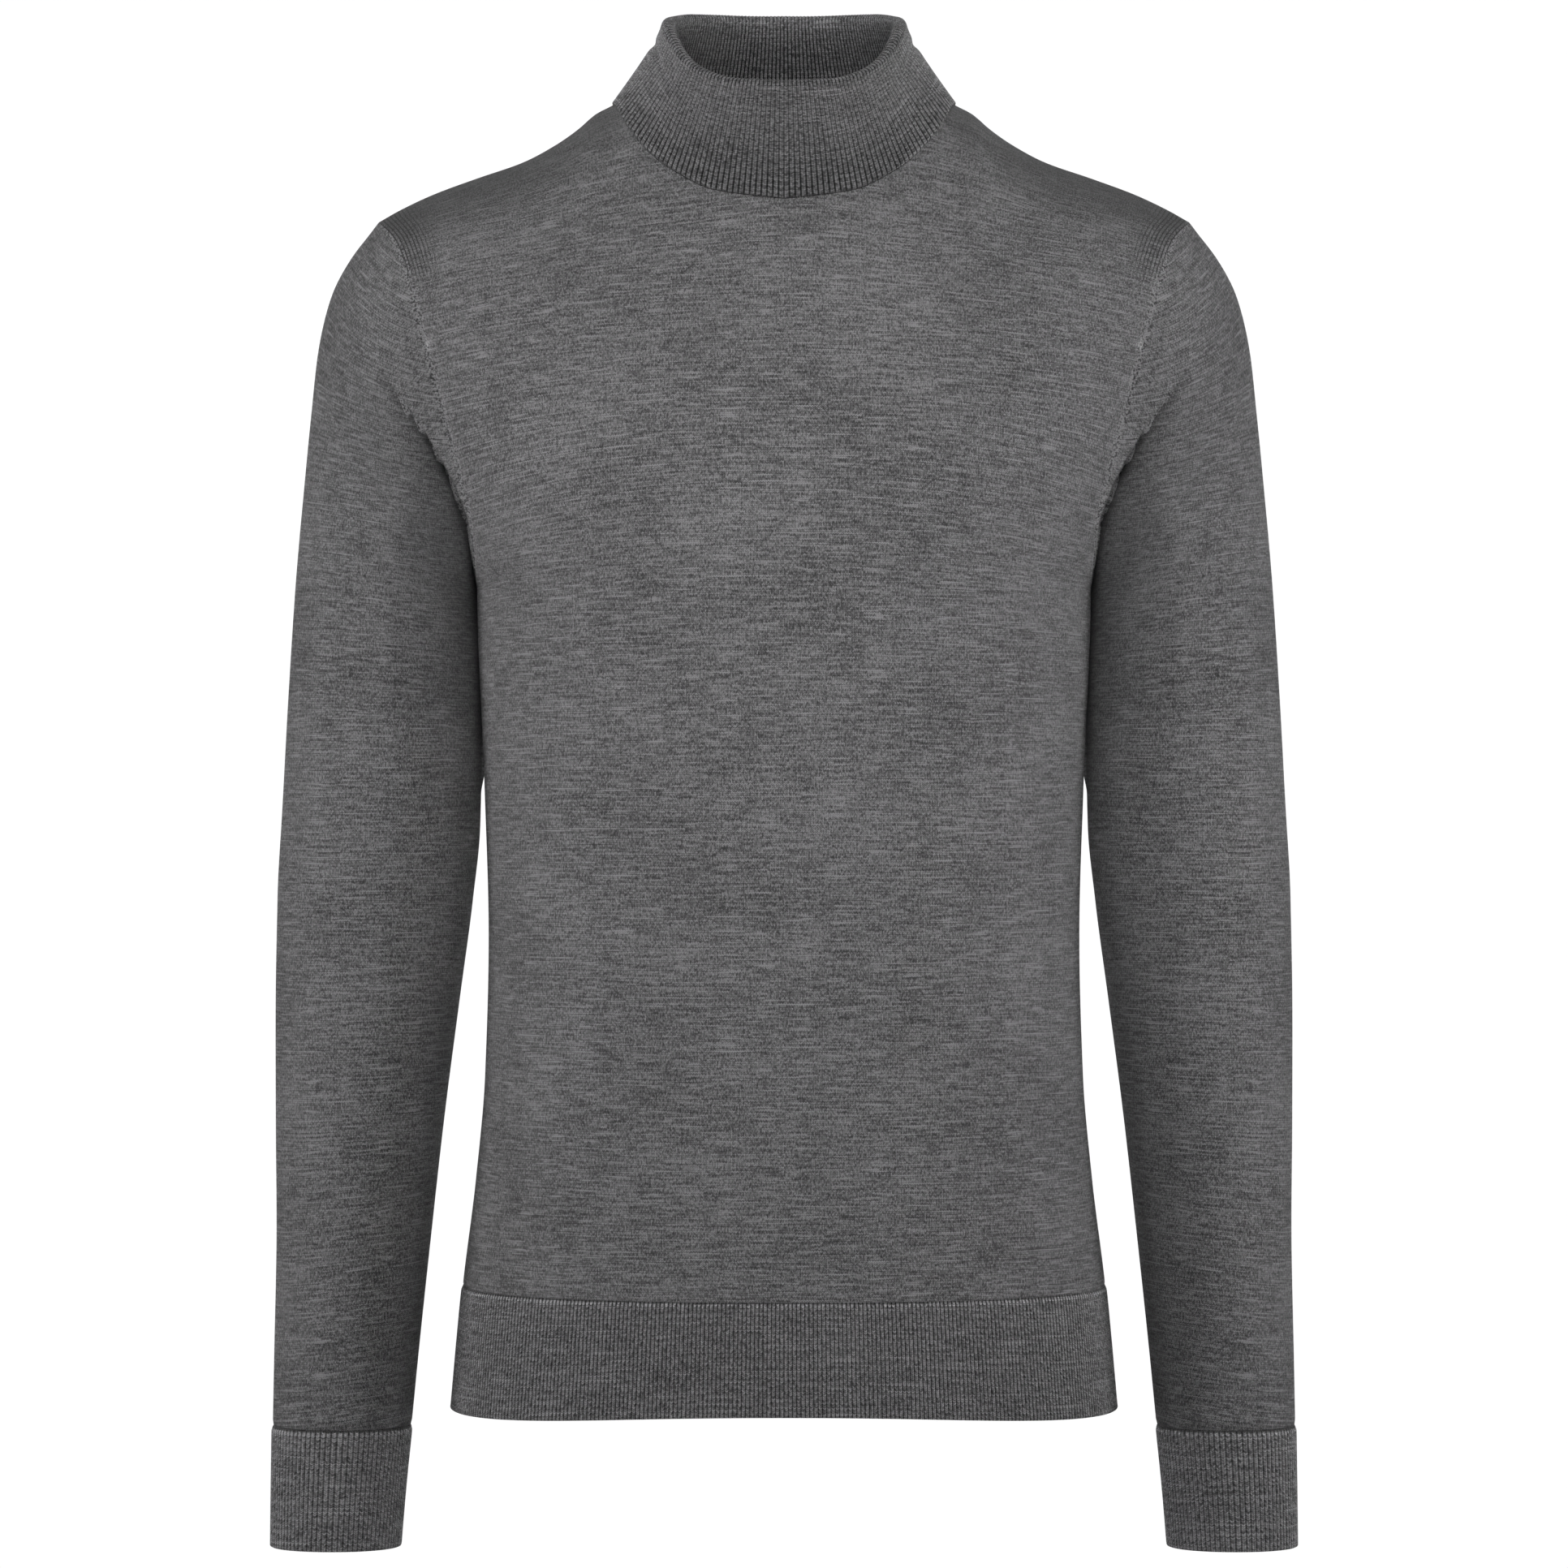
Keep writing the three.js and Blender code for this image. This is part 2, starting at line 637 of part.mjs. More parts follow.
const foldOutward = (at) => new THREE.Vector3(Math.sin(collarTurn(at)), -Math.cos(collarTurn(at)), 0);

// The lower edge of the turned-down layer, which rests over the front, the shoulders and the back.
function collarEdge(at) {
  const side = degreesRound(at) < 90 ? SIDES.front : SIDES.back;
  const x = COLLAR_EDGE_HALF_WIDTH * Math.sin(collarTurn(at));
  const z = Math.min(collarEdgeZ(degreesRound(at)), crestZ(side, Math.abs(x)));
  const p = trunkPoint(side, Math.abs(x), z);
  p.x = x;
  return moved(p, trunkNormal(side, p), COLLAR_EDGE_LIFT);
}

// A point on the turned-down layer: fall is 0 at the roll and 1 at the lower edge. The layer bulges at
// the front and the back, and hollows at the sides, where it runs out over the shoulders.
function collarLayer(at, fall) {
  const start = moved(foldPoint(at), foldOutward(at), FOLD_RADIUS);
  const end = collarEdge(at);
  const sideways = Math.sin(collarTurn(at)) ** 2;
  const bend = new THREE.Vector3()
    .lerpVectors(start, end, lerp(0.45, 0.25, sideways))
    .addScaledVector(foldOutward(at), lerp(2, -4, sideways));
  const [a, b, c] = [(1 - fall) ** 2, 2 * fall * (1 - fall), fall ** 2];
  return start.clone().multiplyScalar(a).addScaledVector(bend, b).addScaledVector(end, c);
}

const LAYER_FALLS = [0.06, 0.35, 0.68, 1];
const COLLAR_COLUMNS = 8 * NECK_COLUMNS;

function layerNormal(at, fall) {
  const step = 1e-3;
  const along = new THREE.Vector3().subVectors(collarLayer(at + step, fall), collarLayer(at - step, fall));
  const up = new THREE.Vector3().subVectors(
    collarLayer(at, Math.max(fall - step, 0)),
    collarLayer(at, Math.min(fall + step, 1)),
  );
  return along.cross(up).normalize();
}

function collarGeometry(panels) {
  const neck = neckLoop(panels);
  const seam = acrossSeam(neck.outer, neck.inner, () => new THREE.Vector3(0, 0, 1));
  const shares = Array.from({ length: COLLAR_COLUMNS }, (_, i) => i / COLLAR_COLUMNS);
  const half = RIB_CLOTH / 2;

  // The roll's half circle, from the standing layer over the top to the turned-down layer.
  const roll = (degrees, radius) =>
    shares.map((at) => {
      const turn = radians(degrees);
      const p = moved(foldPoint(at), foldOutward(at), -radius * Math.cos(turn));
      p.z += radius * Math.sin(turn);
      return p;
    });
  // The standing layer half way up, drawn in a little towards the neck.
  const standing = (loop, top) =>
    top.map((p, i) => {
      const [a, b] = [loop[Math.floor(i / 2)], loop[Math.ceil(i / 2) % loop.length]];
      const foot = new THREE.Vector3().addVectors(a, b).multiplyScalar(0.5);
      return foot.lerp(p, 0.5).addScaledVector(foldOutward(shares[i]), -STANDING_DRAW_IN);
    });

  const seen = [seam.inner, standing(seam.inner, roll(0, FOLD_RADIUS + half))];
  for (const degrees of [0, 60, 120]) seen.push(roll(degrees, FOLD_RADIUS + half));
  const ribs = LAYER_FALLS.map((fall) =>
    ribbed(
      (at) => moved(collarLayer(at, fall), layerNormal(at, fall), half),
      (at) => layerNormal(at, fall),
      COLLAR_RIBS,
      true,
    ),
  );
  const hidden = [seam.outer, standing(seam.outer, roll(0, FOLD_RADIUS - half))];
  for (const degrees of [0, 60, 120]) hidden.push(roll(degrees, FOLD_RADIUS - half));
  for (const fall of LAYER_FALLS)
    hidden.push(shares.map((at) => moved(collarLayer(at, fall), layerNormal(at, fall), -half)));

  const skin = new Skin();
  const face = looped([...seen, ...ribs]);
  const reverse = looped(hidden);
  for (const second of [false, true]) {
    const [faceHalf, reverseHalf] = [halfOf(face, second), halfOf(reverse, second)];
    skin.leansLeft = !second;
    skin.grid(backwards(faceHalf));
    skin.grid(reverseHalf);
    skin.strip(reverseHalf[reverseHalf.length - 1], faceHalf[faceHalf.length - 1]);
    for (const laterQuarter of [false, true]) {
      const [low, high] = halfOf([faceHalf[0], reverseHalf[0]], laterQuarter);
      skin.leansLeft = !laterQuarter;
      skin.strip(low, high);
    }
  }
  return skin.geometry();
}

// The whole sweater

function mesh(name, geometry, material) {
  const piece = new THREE.Mesh(geometry, material);
  piece.name = name;
  return piece;
}

function sweater() {
  const group = new THREE.Group();
  const panels = {};
  for (const [name, side] of Object.entries(SIDES)) {
    const outer = panelGrid(side);
    panels[name] = { outer, inner: innerPanel(side, outer) };
    group.add(mesh(`${name}_panel`, wall(outer, panels[name].inner, false), KNIT_GREY));
    group.add(mesh(`hem_rib_${name}`, hemGeometry(side), RIB_GREY));
  }
  const sleeve = sleeveGrids(armholeLoop(panels));
  const cuff = cuffGrids();
  const tubes = { sleeve: [sleeve, KNIT_GREY], cuff: [cuff, RIB_GREY] };
  for (const [name, [grids, material]] of Object.entries(tubes)) {
    const [outer, inner] = [mirroredGrid(grids.outer), mirroredGrid(grids.inner)];
    group.add(mesh(`${name}_left`, wall(grids.outer, grids.inner, true), material));
    group.add(mesh(`${name}_right`, wall(outer, inner, true), material));
  }
  group.add(mesh("collar", collarGeometry(panels), RIB_GREY));
  return group;
}

export default sweater();
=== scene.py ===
# A fine-knit turtleneck sweater, filled out and hanging with nobody in it.
#
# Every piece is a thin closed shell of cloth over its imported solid. The tables and formulas below repeat
# the named sizes of the solids, in millimetres, and work the pieces out at a finer step: the folds, the
# rolled seam edges and the ribs are in the mesh, and the stitches are in the material.

import math

import bpy
import numpy as np
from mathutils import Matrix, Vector


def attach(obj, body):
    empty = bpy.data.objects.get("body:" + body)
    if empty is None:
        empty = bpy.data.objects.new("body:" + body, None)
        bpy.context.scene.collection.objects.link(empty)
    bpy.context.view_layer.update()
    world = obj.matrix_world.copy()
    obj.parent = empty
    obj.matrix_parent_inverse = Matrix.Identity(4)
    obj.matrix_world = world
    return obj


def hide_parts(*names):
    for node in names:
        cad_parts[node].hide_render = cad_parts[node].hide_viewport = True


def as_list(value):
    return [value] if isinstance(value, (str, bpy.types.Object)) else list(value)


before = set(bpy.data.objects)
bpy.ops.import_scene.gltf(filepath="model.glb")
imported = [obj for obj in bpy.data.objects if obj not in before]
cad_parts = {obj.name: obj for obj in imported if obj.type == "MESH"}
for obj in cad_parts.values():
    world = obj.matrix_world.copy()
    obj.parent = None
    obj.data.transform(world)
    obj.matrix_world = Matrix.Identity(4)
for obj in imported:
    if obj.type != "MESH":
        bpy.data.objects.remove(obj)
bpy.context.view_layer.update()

MM = 0.001


def table(names, rows):
    """A short table as one array for each named column."""
    return dict(zip(names.split(), np.array(rows, float).T))


# Cloth and seams
PLAIN_CLOTH = 1.4
RIB_CLOTH = 1.7
HALF_RIB_CLOTH = RIB_CLOTH / 2
RIB_RELIEF = 0.6
SEAM = 0.08
SEAM_SINK = 0.5
SEAM_REACH = 1.1
ARMHOLE_SINK_SHARE = 0.1
TUCK_LENGTH = 0.8
TUCK_DEPTH = 0.2

# Stitches: one wale is a column of stitches, one course is a row of them
WALE = 1.29
COURSE = 1.07

# Heights of the main lines of the sweater
UNDERARM_Z = -250
HEM_SEAM_Z = -609.5
HEM_END_Z = -673
HEM_CENTRE_LIFT = 6

# Neck hole and turned-down collar
NECK_HALF_WIDTH = 75
NECK_SIDE_Z = 9.5
NECK_FRONT_Z = -42
NECK_BACK_Z = 4
NECK_SHARE = 0.5
FOLD_HALF_WIDTH = 59.6
FOLD_HALF_DEPTH = 62
FOLD_CENTRE_Y = -10
FOLD_RADIUS = 2.4
STANDING_DRAW_IN = 2
COLLAR_EDGE_HALF_WIDTH = 87.5
COLLAR_EDGE_LIFT = 2.7
COLLAR_SIDE_LIFT = 1.0

# One-by-one ribs all round each ribbed piece, and grid columns across one rib
COLLAR_RIBS = 190
HEM_RIBS_PER_SIDE = 216
CUFF_RIBS = 84
RIB_COLUMNS = 6

TRUNK_SQUARENESS = 2.3
SLEEVE_SQUARENESS = 2.1
SHOULDER_ROUNDING_NECK = 120
SHOULDER_ROUNDING_POINT = 60

SHOULDER_LINE = table("x z", [
    (75, 9.5), (87.5, 0.2), (97, -4.8), (106, -12.6), (118, -21), (134.5, -29.8), (158, -38),
    (180.5, -46.3), (198, -54.5), (209.5, -61),
])
SHOULDER_X, SHOULDER_Z = 209.5, -61

TRUNK = table("z width front back", [
    (-680, 172.5, 112, 113), (-610, 166, 111, 113), (-555, 159.2, 109, 108), (-500, 154.4, 107, 99),
    (-430, 152.6, 107, 91), (-350, 154.8, 112, 98), (-250, 158.5, 120, 112), (-190, 158.5, 121, 116),
    (-120, 158.5, 112, 112), (-60, 158.5, 96, 100), (0, 158.5, 84, 82), (20, 158.5, 80, 76),
])

ARMHOLE = table("z front back depth_left", [
    (-250, 158.5, 158.5, 0), (-247, 158.2, 159, 0.2), (-240, 158, 160.5, 0.34), (-220, 159, 165, 0.45),
    (-197, 163.5, 171, 0.5), (-165, 172, 180, 0.53), (-130, 181, 189, 0.57), (-95, 190, 198, 0.62),
    (-75, 197.5, 203.5, 0.66), (-61, 209.5, 209.5, 0.7),
])

COLLAR = table("turn fold edge", [
    (0, 1.1, -57.5), (23, 2.5, -53), (38, 6.8, -43.5), (52, 13.9, -31), (64, 23, -16.5), (77, 33.5, -3.5),
    (90, 40, 0), (108, 44, -2.5), (127, 47.4, -6), (150, 49, -10), (180, 49.7, -12),
])

# The first row is the armhole itself
SLEEVE = table("level out_x out_z in_x in_z front back behind round", [
    (0, 209.5, -61, 158.5, -250, 60, 60, 0, 0),
    (1, 214, -67, 160.2, -246.5, 60, 60, 0, 0.12),
    (2, 224, -80, 162.4, -248.5, 59, 60, 1, 0.32),
    (3, 234, -99, 162.6, -254, 57, 58, 2, 0.55),
    (4, 241, -127, 162, -261, 54, 56, 4, 0.78),
    (5, 244.8, -160, 161.2, -270, 51, 54, 5, 0.93),
    (6, 248.6, -198, 160.2, -282, 50, 53, 6, 1),
    (7, 252.8, -244, 158.8, -302, 49, 52, 7, 1),
    (8, 256.6, -300, 156.9, -333, 48, 51, 8, 1),
    (9, 260, -362, 157.6, -372, 47, 50, 8, 1),
    (10, 262.6, -410, 161.6, -412, 46, 48, 8, 1),
    (11, 263.3, -465, 168.5, -465, 45, 46, 5, 1),
    (12, 262.8, -525, 176, -525, 42, 42, 0, 1),
    (13, 261.9, -585, 182.4, -585, 39, 39, -6, 1),
    (14, 262.6, -640, 188, -640, 35, 35, -11, 1),
    (15, 263.1, -680.7, 191.8, -680.7, 31, 31, -15, 1),
])
CUFF = table("level out_x out_z in_x in_z front back behind", [
    (0, 263.2, -681, 191.8, -681, 31, 31, -15),
    (1, 263.4, -712, 194.8, -712, 28.5, 28.5, -18),
    (2, 263.5, -742.3, 197.2, -742.3, 26.5, 26.5, -21),
])

# The crease where a hanging sleeve folds in under the armhole: the line of its lip, seen from the front, and
# how deep the sleeve sinks behind the lip and how wide the trough opens on the sleeve's side
CREASE = table("z x depth width", [
    (-136, 208, 0, 12), (-150, 198.5, 3, 17), (-166, 187.5, 8, 22), (-180, 178.4, 15, 27),
    (-203, 166.2, 27, 35), (-223, 160.4, 31, 42), (-245, 158.6, 31, 46), (-268, 157.6, 26, 46),
    (-310, 157, 18, 44), (-350, 157, 8, 40), (-385, 157, 0, 34),
])

# Its profile: a rounded lip that leans outward, a narrow slot behind it and a wide trough beyond
CREASE_LIP = 3.0
CREASE_OVERHANG = 1.3
CREASE_FULL_LEAN_DEPTH = 12
CREASE_FALL = 1.7
CREASE_SLOT_SHARE = 0.42
CREASE_SLOT_WIDTH = 7.0
CREASE_SLOT_FALL = 1.5
CREASE_START = 0.25
BACK_CREASE_SHARE = 0.7
INNER_GAP = 1.5

# Painted shade: how much darker the cloth is painted in the crease, along its line and on the inner side of
# a sleeve
CREASE_SHADE = 0.6
CREASE_SHADE_REACH = 9.0
CREASE_LINE_SHADE = 0.9
CREASE_LINE_REACH = 2.6
CREASE_SHADE_START = -0.5
CREASE_DARK_DEPTH = 20
INNER_SIDE_SHADE = 0.24
INNER_SIDE_REACH = 28
INNER_SIDE_END_Z = -395
INNER_SIDE_FADE = 22


# Small helpers

UP = np.array([0, 0, 1.0])


def lerp(a, b, t):
    return a + (b - a) * t


def bell(distance, reach):
    """1 at no distance, falling softly to 0 beyond the reach."""
    return np.exp(-((distance / reach) ** 2))


def fade(distance, width):
    """1 well below zero and 0 well above it, with a soft step at zero."""
    return 1 / (1 + np.exp(distance / width))


def signed_power(value, power):
    return np.sign(value) * np.abs(value) ** power


def point(x, y, z):
    return np.stack(np.broadcast_arrays(x, y, z), axis=-1).astype(float)


def unit(vectors):
    return vectors / np.maximum(np.linalg.norm(vectors, axis=-1, keepdims=True), 1e-12)


def through(rows, start, end):
    """A smooth function through a table, from one named column to another, flat beyond its ends."""
    order = np.argsort(rows[start])
    x, y = rows[start][order], rows[end][order]
    step = np.diff(x)
    chord = np.diff(y) / step
    left, right = chord[:-1], chord[1:]
    turning = left * right <= 0
    inner = np.where(turning, 0, 2 * left * right / np.where(turning, 1, left + right))
    slope = np.concatenate([chord[:1], inner, chord[-1:]])

    def value(at):
        at = np.clip(at, x[0], x[-1])
        i = np.clip(np.searchsorted(x, at) - 1, 0, len(step) - 1)
        t = (at - x[i]) / step[i]
        return (
            y[i] * (1 + 2 * t) * (1 - t) ** 2
            + slope[i] * step[i] * t * (1 - t) ** 2
            + y[i + 1] * t**2 * (3 - 2 * t)
            + slope[i + 1] * step[i] * t**2 * (t - 1)
        )

    return value


def grid_normals(grid, closed):
    """Unit normals of a grid whose rows run up and whose columns run to the right, seen from outside."""
    if closed:
        across = np.roll(grid, -1, axis=1) - np.roll(grid, 1, axis=1)
    else:
        across = np.gradient(grid, axis=1)
    return unit(np.cross(across, np.gradient(grid, axis=0)))


def run_length(grid, axis):
    """The length along the rows or the columns of a grid, from its start."""
    steps = np.linalg.norm(np.diff(grid, axis=axis), axis=-1)
    start = np.zeros_like(np.take(steps, [0], axis=axis))
    return np.concatenate([start, np.cumsum(steps, axis=axis)], axis=axis)


# A closed shell of cloth

class Shell:
    """Collects grids and strips of points into one closed mesh. A corner is an index with its u and v."""

    def __init__(self):
        self.points, self.quads, self.triangles = [], [], []
        self.count = 0

    def grid(self, points, uv, closed, faces_in=False):
        rows, columns = points.shape[:2]
        index = self.count + np.arange(rows * columns).reshape(rows, columns)
        self.count += rows * columns
        self.points.append(points.reshape(-1, 3))
        if closed:
            index = np.hstack([index, index[:, :1]])
        corners = np.dstack([index, uv])
        around = [corners[:-1, :-1], corners[:-1, 1:], corners[1:, 1:], corners[1:, :-1]]
        if faces_in:
            around.reverse()
        self.quads.append(np.stack(around, axis=2).reshape(-1, 4, 3))
        return corners

    def strip(self, low, high):
        """Triangles between two lines of corners that may differ in number."""
        i = j = 0
        while i < len(low) - 1 or j < len(high) - 1:
            low_first = (i + 1) * (len(high) - 1) <= (j + 1) * (len(low) - 1)
            if j == len(high) - 1 or (i < len(low) - 1 and low_first):
                self.triangles.append((low[i], low[i + 1], high[j]))
                i += 1
            else:
                self.triangles.append((low[i], high[j + 1], high[j]))
                j += 1

    def build(self, name, attributes):
        quads = np.concatenate(self.quads)
        triangles = np.array(self.triangles)
        corners = np.concatenate([quads.reshape(-1, 3), triangles.reshape(-1, 3)])
        sizes = np.concatenate([np.full(len(quads), 4), np.full(len(triangles), 3)])
        mesh = bpy.data.meshes.new(name)
        places = np.concatenate(self.points) * MM
        mesh.vertices.add(len(places))
        mesh.vertices.foreach_set("co", places.ravel())
        mesh.loops.add(len(corners))
        mesh.loops.foreach_set("vertex_index", corners[:, 0].astype(np.int32))
        mesh.polygons.add(len(sizes))
        mesh.polygons.foreach_set("loop_start", (np.cumsum(sizes) - sizes).astype(np.int32))
        mesh.polygons.foreach_set("use_smooth", sizes == 4)
        stitches = mesh.uv_layers.new(name="stitches")
        stitches.data.foreach_set("uv", corners[:, 1:].astype(np.float32).ravel())
        mesh.update(calc_edges=True)
        for key, values in attributes.items():
            padded = np.zeros(len(places), np.float32)
            padded[: values.size] = values.ravel()
            mesh.attributes.new(key, "FLOAT", "POINT").data.foreach_set("value", padded)
        piece = bpy.data.objects.new(f"{name}_cloth", mesh)
        bpy.context.scene.collection.objects.link(piece)
        return piece


def thinned(grid, row_step, column_step):
    """Every few rows and columns of a grid, its last row and column included."""
    rows = np.unique(np.append(np.arange(0, grid.shape[0], row_step), grid.shape[0] - 1))
    columns = np.unique(np.append(np.arange(0, grid.shape[1], column_step), grid.shape[1] - 1))
    return grid[rows][:, columns]


def thinned_side(inner, uv, closed, steps):
    """The inner side of a wall and its uv, at every few rows and columns. uv has a column more if closed."""
    if closed:
        inner = np.hstack([inner, inner[:, :1]])
    coarse = thinned(inner, *steps)
    return coarse[:, :-1] if closed else coarse, thinned(uv, *steps)


def cloth(name, outer, inner, closed, attributes):
    """A wall of cloth between an outer side and a coarser inner side, each a grid and its uv."""
    shell = Shell()
    face = shell.grid(*outer, closed)
    back = shell.grid(*inner, closed, faces_in=True)
    shell.strip(face[-1], back[-1])
    shell.strip(face[0][::-1], back[0][::-1])
    if not closed:
        shell.strip(face[::-1, -1], back[::-1, -1])
        shell.strip(face[:, 0], back[:, 0])
    return shell.build(name, attributes)


# The trunk's surface

trunk_width = through(TRUNK, "z", "width")
ridge_z = through(SHOULDER_LINE, "x", "z")
depth_left = through(ARMHOLE, "z", "depth_left")

FRONT = dict(
    sign=-1, depth=through(TRUNK, "z", "front"), armhole_x=through(ARMHOLE, "z", "front"),
    neck_z=NECK_FRONT_Z, neck_rise=16,
)
BACK = dict(
    sign=1, depth=through(TRUNK, "z", "back"), armhole_x=through(ARMHOLE, "z", "back"),
    neck_z=NECK_BACK_Z, neck_rise=40,
)


def crest_z(side, x):
    """The height at which the front and the back would meet over a place x from the middle."""
    arch = NECK_SIDE_Z + side["neck_rise"] * (1 - (x / NECK_HALF_WIDTH) ** 2)
    return np.where(x >= NECK_HALF_WIDTH, ridge_z(x), arch)


def edge_x(side, z):
    return np.where(z > UNDERARM_Z, side["armhole_x"](z), trunk_width(z))


def trunk_depth(side, x, z):
    """The trunk's depth at a place x from the middle, before the shoulders round it off."""
    left = np.where(z > UNDERARM_Z, depth_left(z), 0)
    across = np.minimum(x / edge_x(side, z), 1)
    n = TRUNK_SQUARENESS
    return side["depth"](z) * np.maximum(1 - (1 - left**n) * across**n, 0) ** (1 / n)


def shoulder_fall(side, x, z):
    """How far a place lies below the shoulder's crest: 0 on the crest, 1 where the rounding ends."""
    rounding = lerp(SHOULDER_ROUNDING_NECK, SHOULDER_ROUNDING_POINT, x / SHOULDER_X)
    return np.minimum((crest_z(side, x) - z) / rounding, 1)


def shoulder_arch(side, x, z):
    below = np.maximum(shoulder_fall(side, x, z), 0)
    return np.sqrt(1 - (1 - below) ** 2)


def trunk_y(side, x, z):
    return side["sign"] * trunk_depth(side, x, z) * shoulder_arch(side, x, z)


def trunk_point(side, x, z):
    """A point on the trunk. x may be on either side of the middle."""
    return point(x, trunk_y(side, np.abs(x), z), z)


def trunk_normal(side, p):
    def reach(x, y, z):
        flat = trunk_depth(side, np.abs(x), z)
        return (y / flat) ** 2 + (1 - shoulder_fall(side, np.abs(x), z)) ** 2

    x, y, z = p[..., 0], p[..., 1], p[..., 2]
    step = 0.5
    return unit(point(
        reach(x + step, y, z) - reach(x - step, y, z),
        reach(x, y + step, z) - reach(x, y - step, z),
        reach(x, y, z + step) - reach(x, y, z - step),
    ))


# Front and back panel

PANEL_HALF_COLUMNS = 84
PANEL_LOWER_ROWS = 112
PANEL_UPPER_ROWS = 100
PANEL_BACK_STEPS = (4, 4)

# More rows and columns close to the seams, as shares of the height and the width, and how late the columns
# turn from the trunk's spacing to the top edge's
ROW_MARGINS = (0.002, 0.004)
COLUMN_MARGINS = (0.0018, 0.0036)
COLUMN_TURN_POWER = 1.5

# Painted shade on a band below the shoulder seam
BAND_SHADE = {"front_panel": 0.5, "back_panel": 0.15}
BAND_HEIGHT = 24
BAND_FADE = 5
BAND_NECK_FADE = 6

# A small knot of yarn beside each armhole of the front
KNOT_X, KNOT_Z = 180.3, -129
KNOT_SIZE = 2.0
KNOT_PALENESS = 0.8
KNOT_RISE = 0.5

# Wales that open beside the top of the armhole, with painted shade in the gaps between them: how far from it
# they reach, and how far down
OPEN_WALES_REACH = 16
OPEN_WALES_FADE = 2.5
OPEN_WALES_LOW_Z = -94
OPEN_WALES_LOW_FADE = 4

# The courses arch up round the neck hole
NECK_ARCH = 8
NECK_ARCH_Z = -58
NECK_ARCH_REACH = 42
NECK_ARCH_HALF_WIDTH = 52

# How steeply the courses fall away towards the armhole
DROOP_POWER = 2.5
COURSE_DROOP = table("z slope", [
    (-370, 0), (-290, 0.03), (-244, 0.15), (-207, 0.28), (-150, 0.18), (-100, 0.25), (-60, 0.25), (10, 0.1),
])
course_droop = through(COURSE_DROOP, "z", "slope")


def top_edge(side, u):
    """The top edge of a panel: half of the neck hole, then the shoulder seam. u runs from 0 to 1."""
    turn = np.radians(90 * np.minimum(u / NECK_SHARE, 1))
    neck_z = side["neck_z"] + (NECK_SIDE_Z - side["neck_z"]) * (1 - np.cos(turn))
    shoulder_x = lerp(NECK_HALF_WIDTH, SHOULDER_X, (u - NECK_SHARE) / (1 - NECK_SHARE))
    on_neck = u <= NECK_SHARE
    x = np.where(on_neck, NECK_HALF_WIDTH * np.sin(turn), shoulder_x)
    return x, np.where(on_neck, neck_z, ridge_z(shoulder_x))


def seam_roll(distance):
    """How deep the cloth's edge is rolled in at a distance from a seam."""
    return SEAM_SINK * bell(distance, SEAM_REACH)


def with_edges(values, margins):
    """A run from 0 to 1 with a few more values just inside each end."""
    margins = np.array(margins)
    return np.unique(np.round(np.concatenate([values, margins, 1 - margins]), 6))


def panel_places(side, u):
    """How far from the middle and how high each point of a panel lies. u runs from -1 to 1 across it."""
    across = np.abs(u)
    level = with_edges(np.linspace(0, 1, PANEL_LOWER_ROWS + 1), ROW_MARGINS)[:-1]
    z_low = lerp(HEM_SEAM_Z, UNDERARM_Z, level)[:, None]
    rise = np.sin(np.linspace(0, math.pi / 2, PANEL_UPPER_ROWS + 1))[:, None]
    spread = np.sin(np.radians(90 * across)) ** (2 / TRUNK_SQUARENESS)
    top_x, top_z = top_edge(side, across)
    edge_z = lerp(UNDERARM_Z, SHOULDER_Z, rise)
    share = lerp(spread, top_x / SHOULDER_X, rise**COLUMN_TURN_POWER)
    x = np.vstack([trunk_width(z_low) * spread, side["armhole_x"](edge_z) * share])
    return x, np.vstack([z_low + 0 * spread, lerp(UNDERARM_Z, top_z, rise)])


def panel_courses(side, x, z):
    """The height up the cloth from the hem seam, and the droop and arch that the courses add to it."""
    arch = shoulder_arch(side, x, z) * side["depth"](z)
    climb = np.hypot(np.diff(z, axis=0), np.diff(arch, axis=0))
    height = np.vstack([np.zeros(x.shape[1]), np.cumsum(climb, axis=0)])
    reach = edge_x(side, z)
    droop = course_droop(z) * reach / DROOP_POWER * (x / reach) ** DROOP_POWER
    beside_neck = 1 - bell(x, NECK_ARCH_HALF_WIDTH)
    return height, droop + NECK_ARCH * bell(z - NECK_ARCH_Z, NECK_ARCH_REACH) * beside_neck


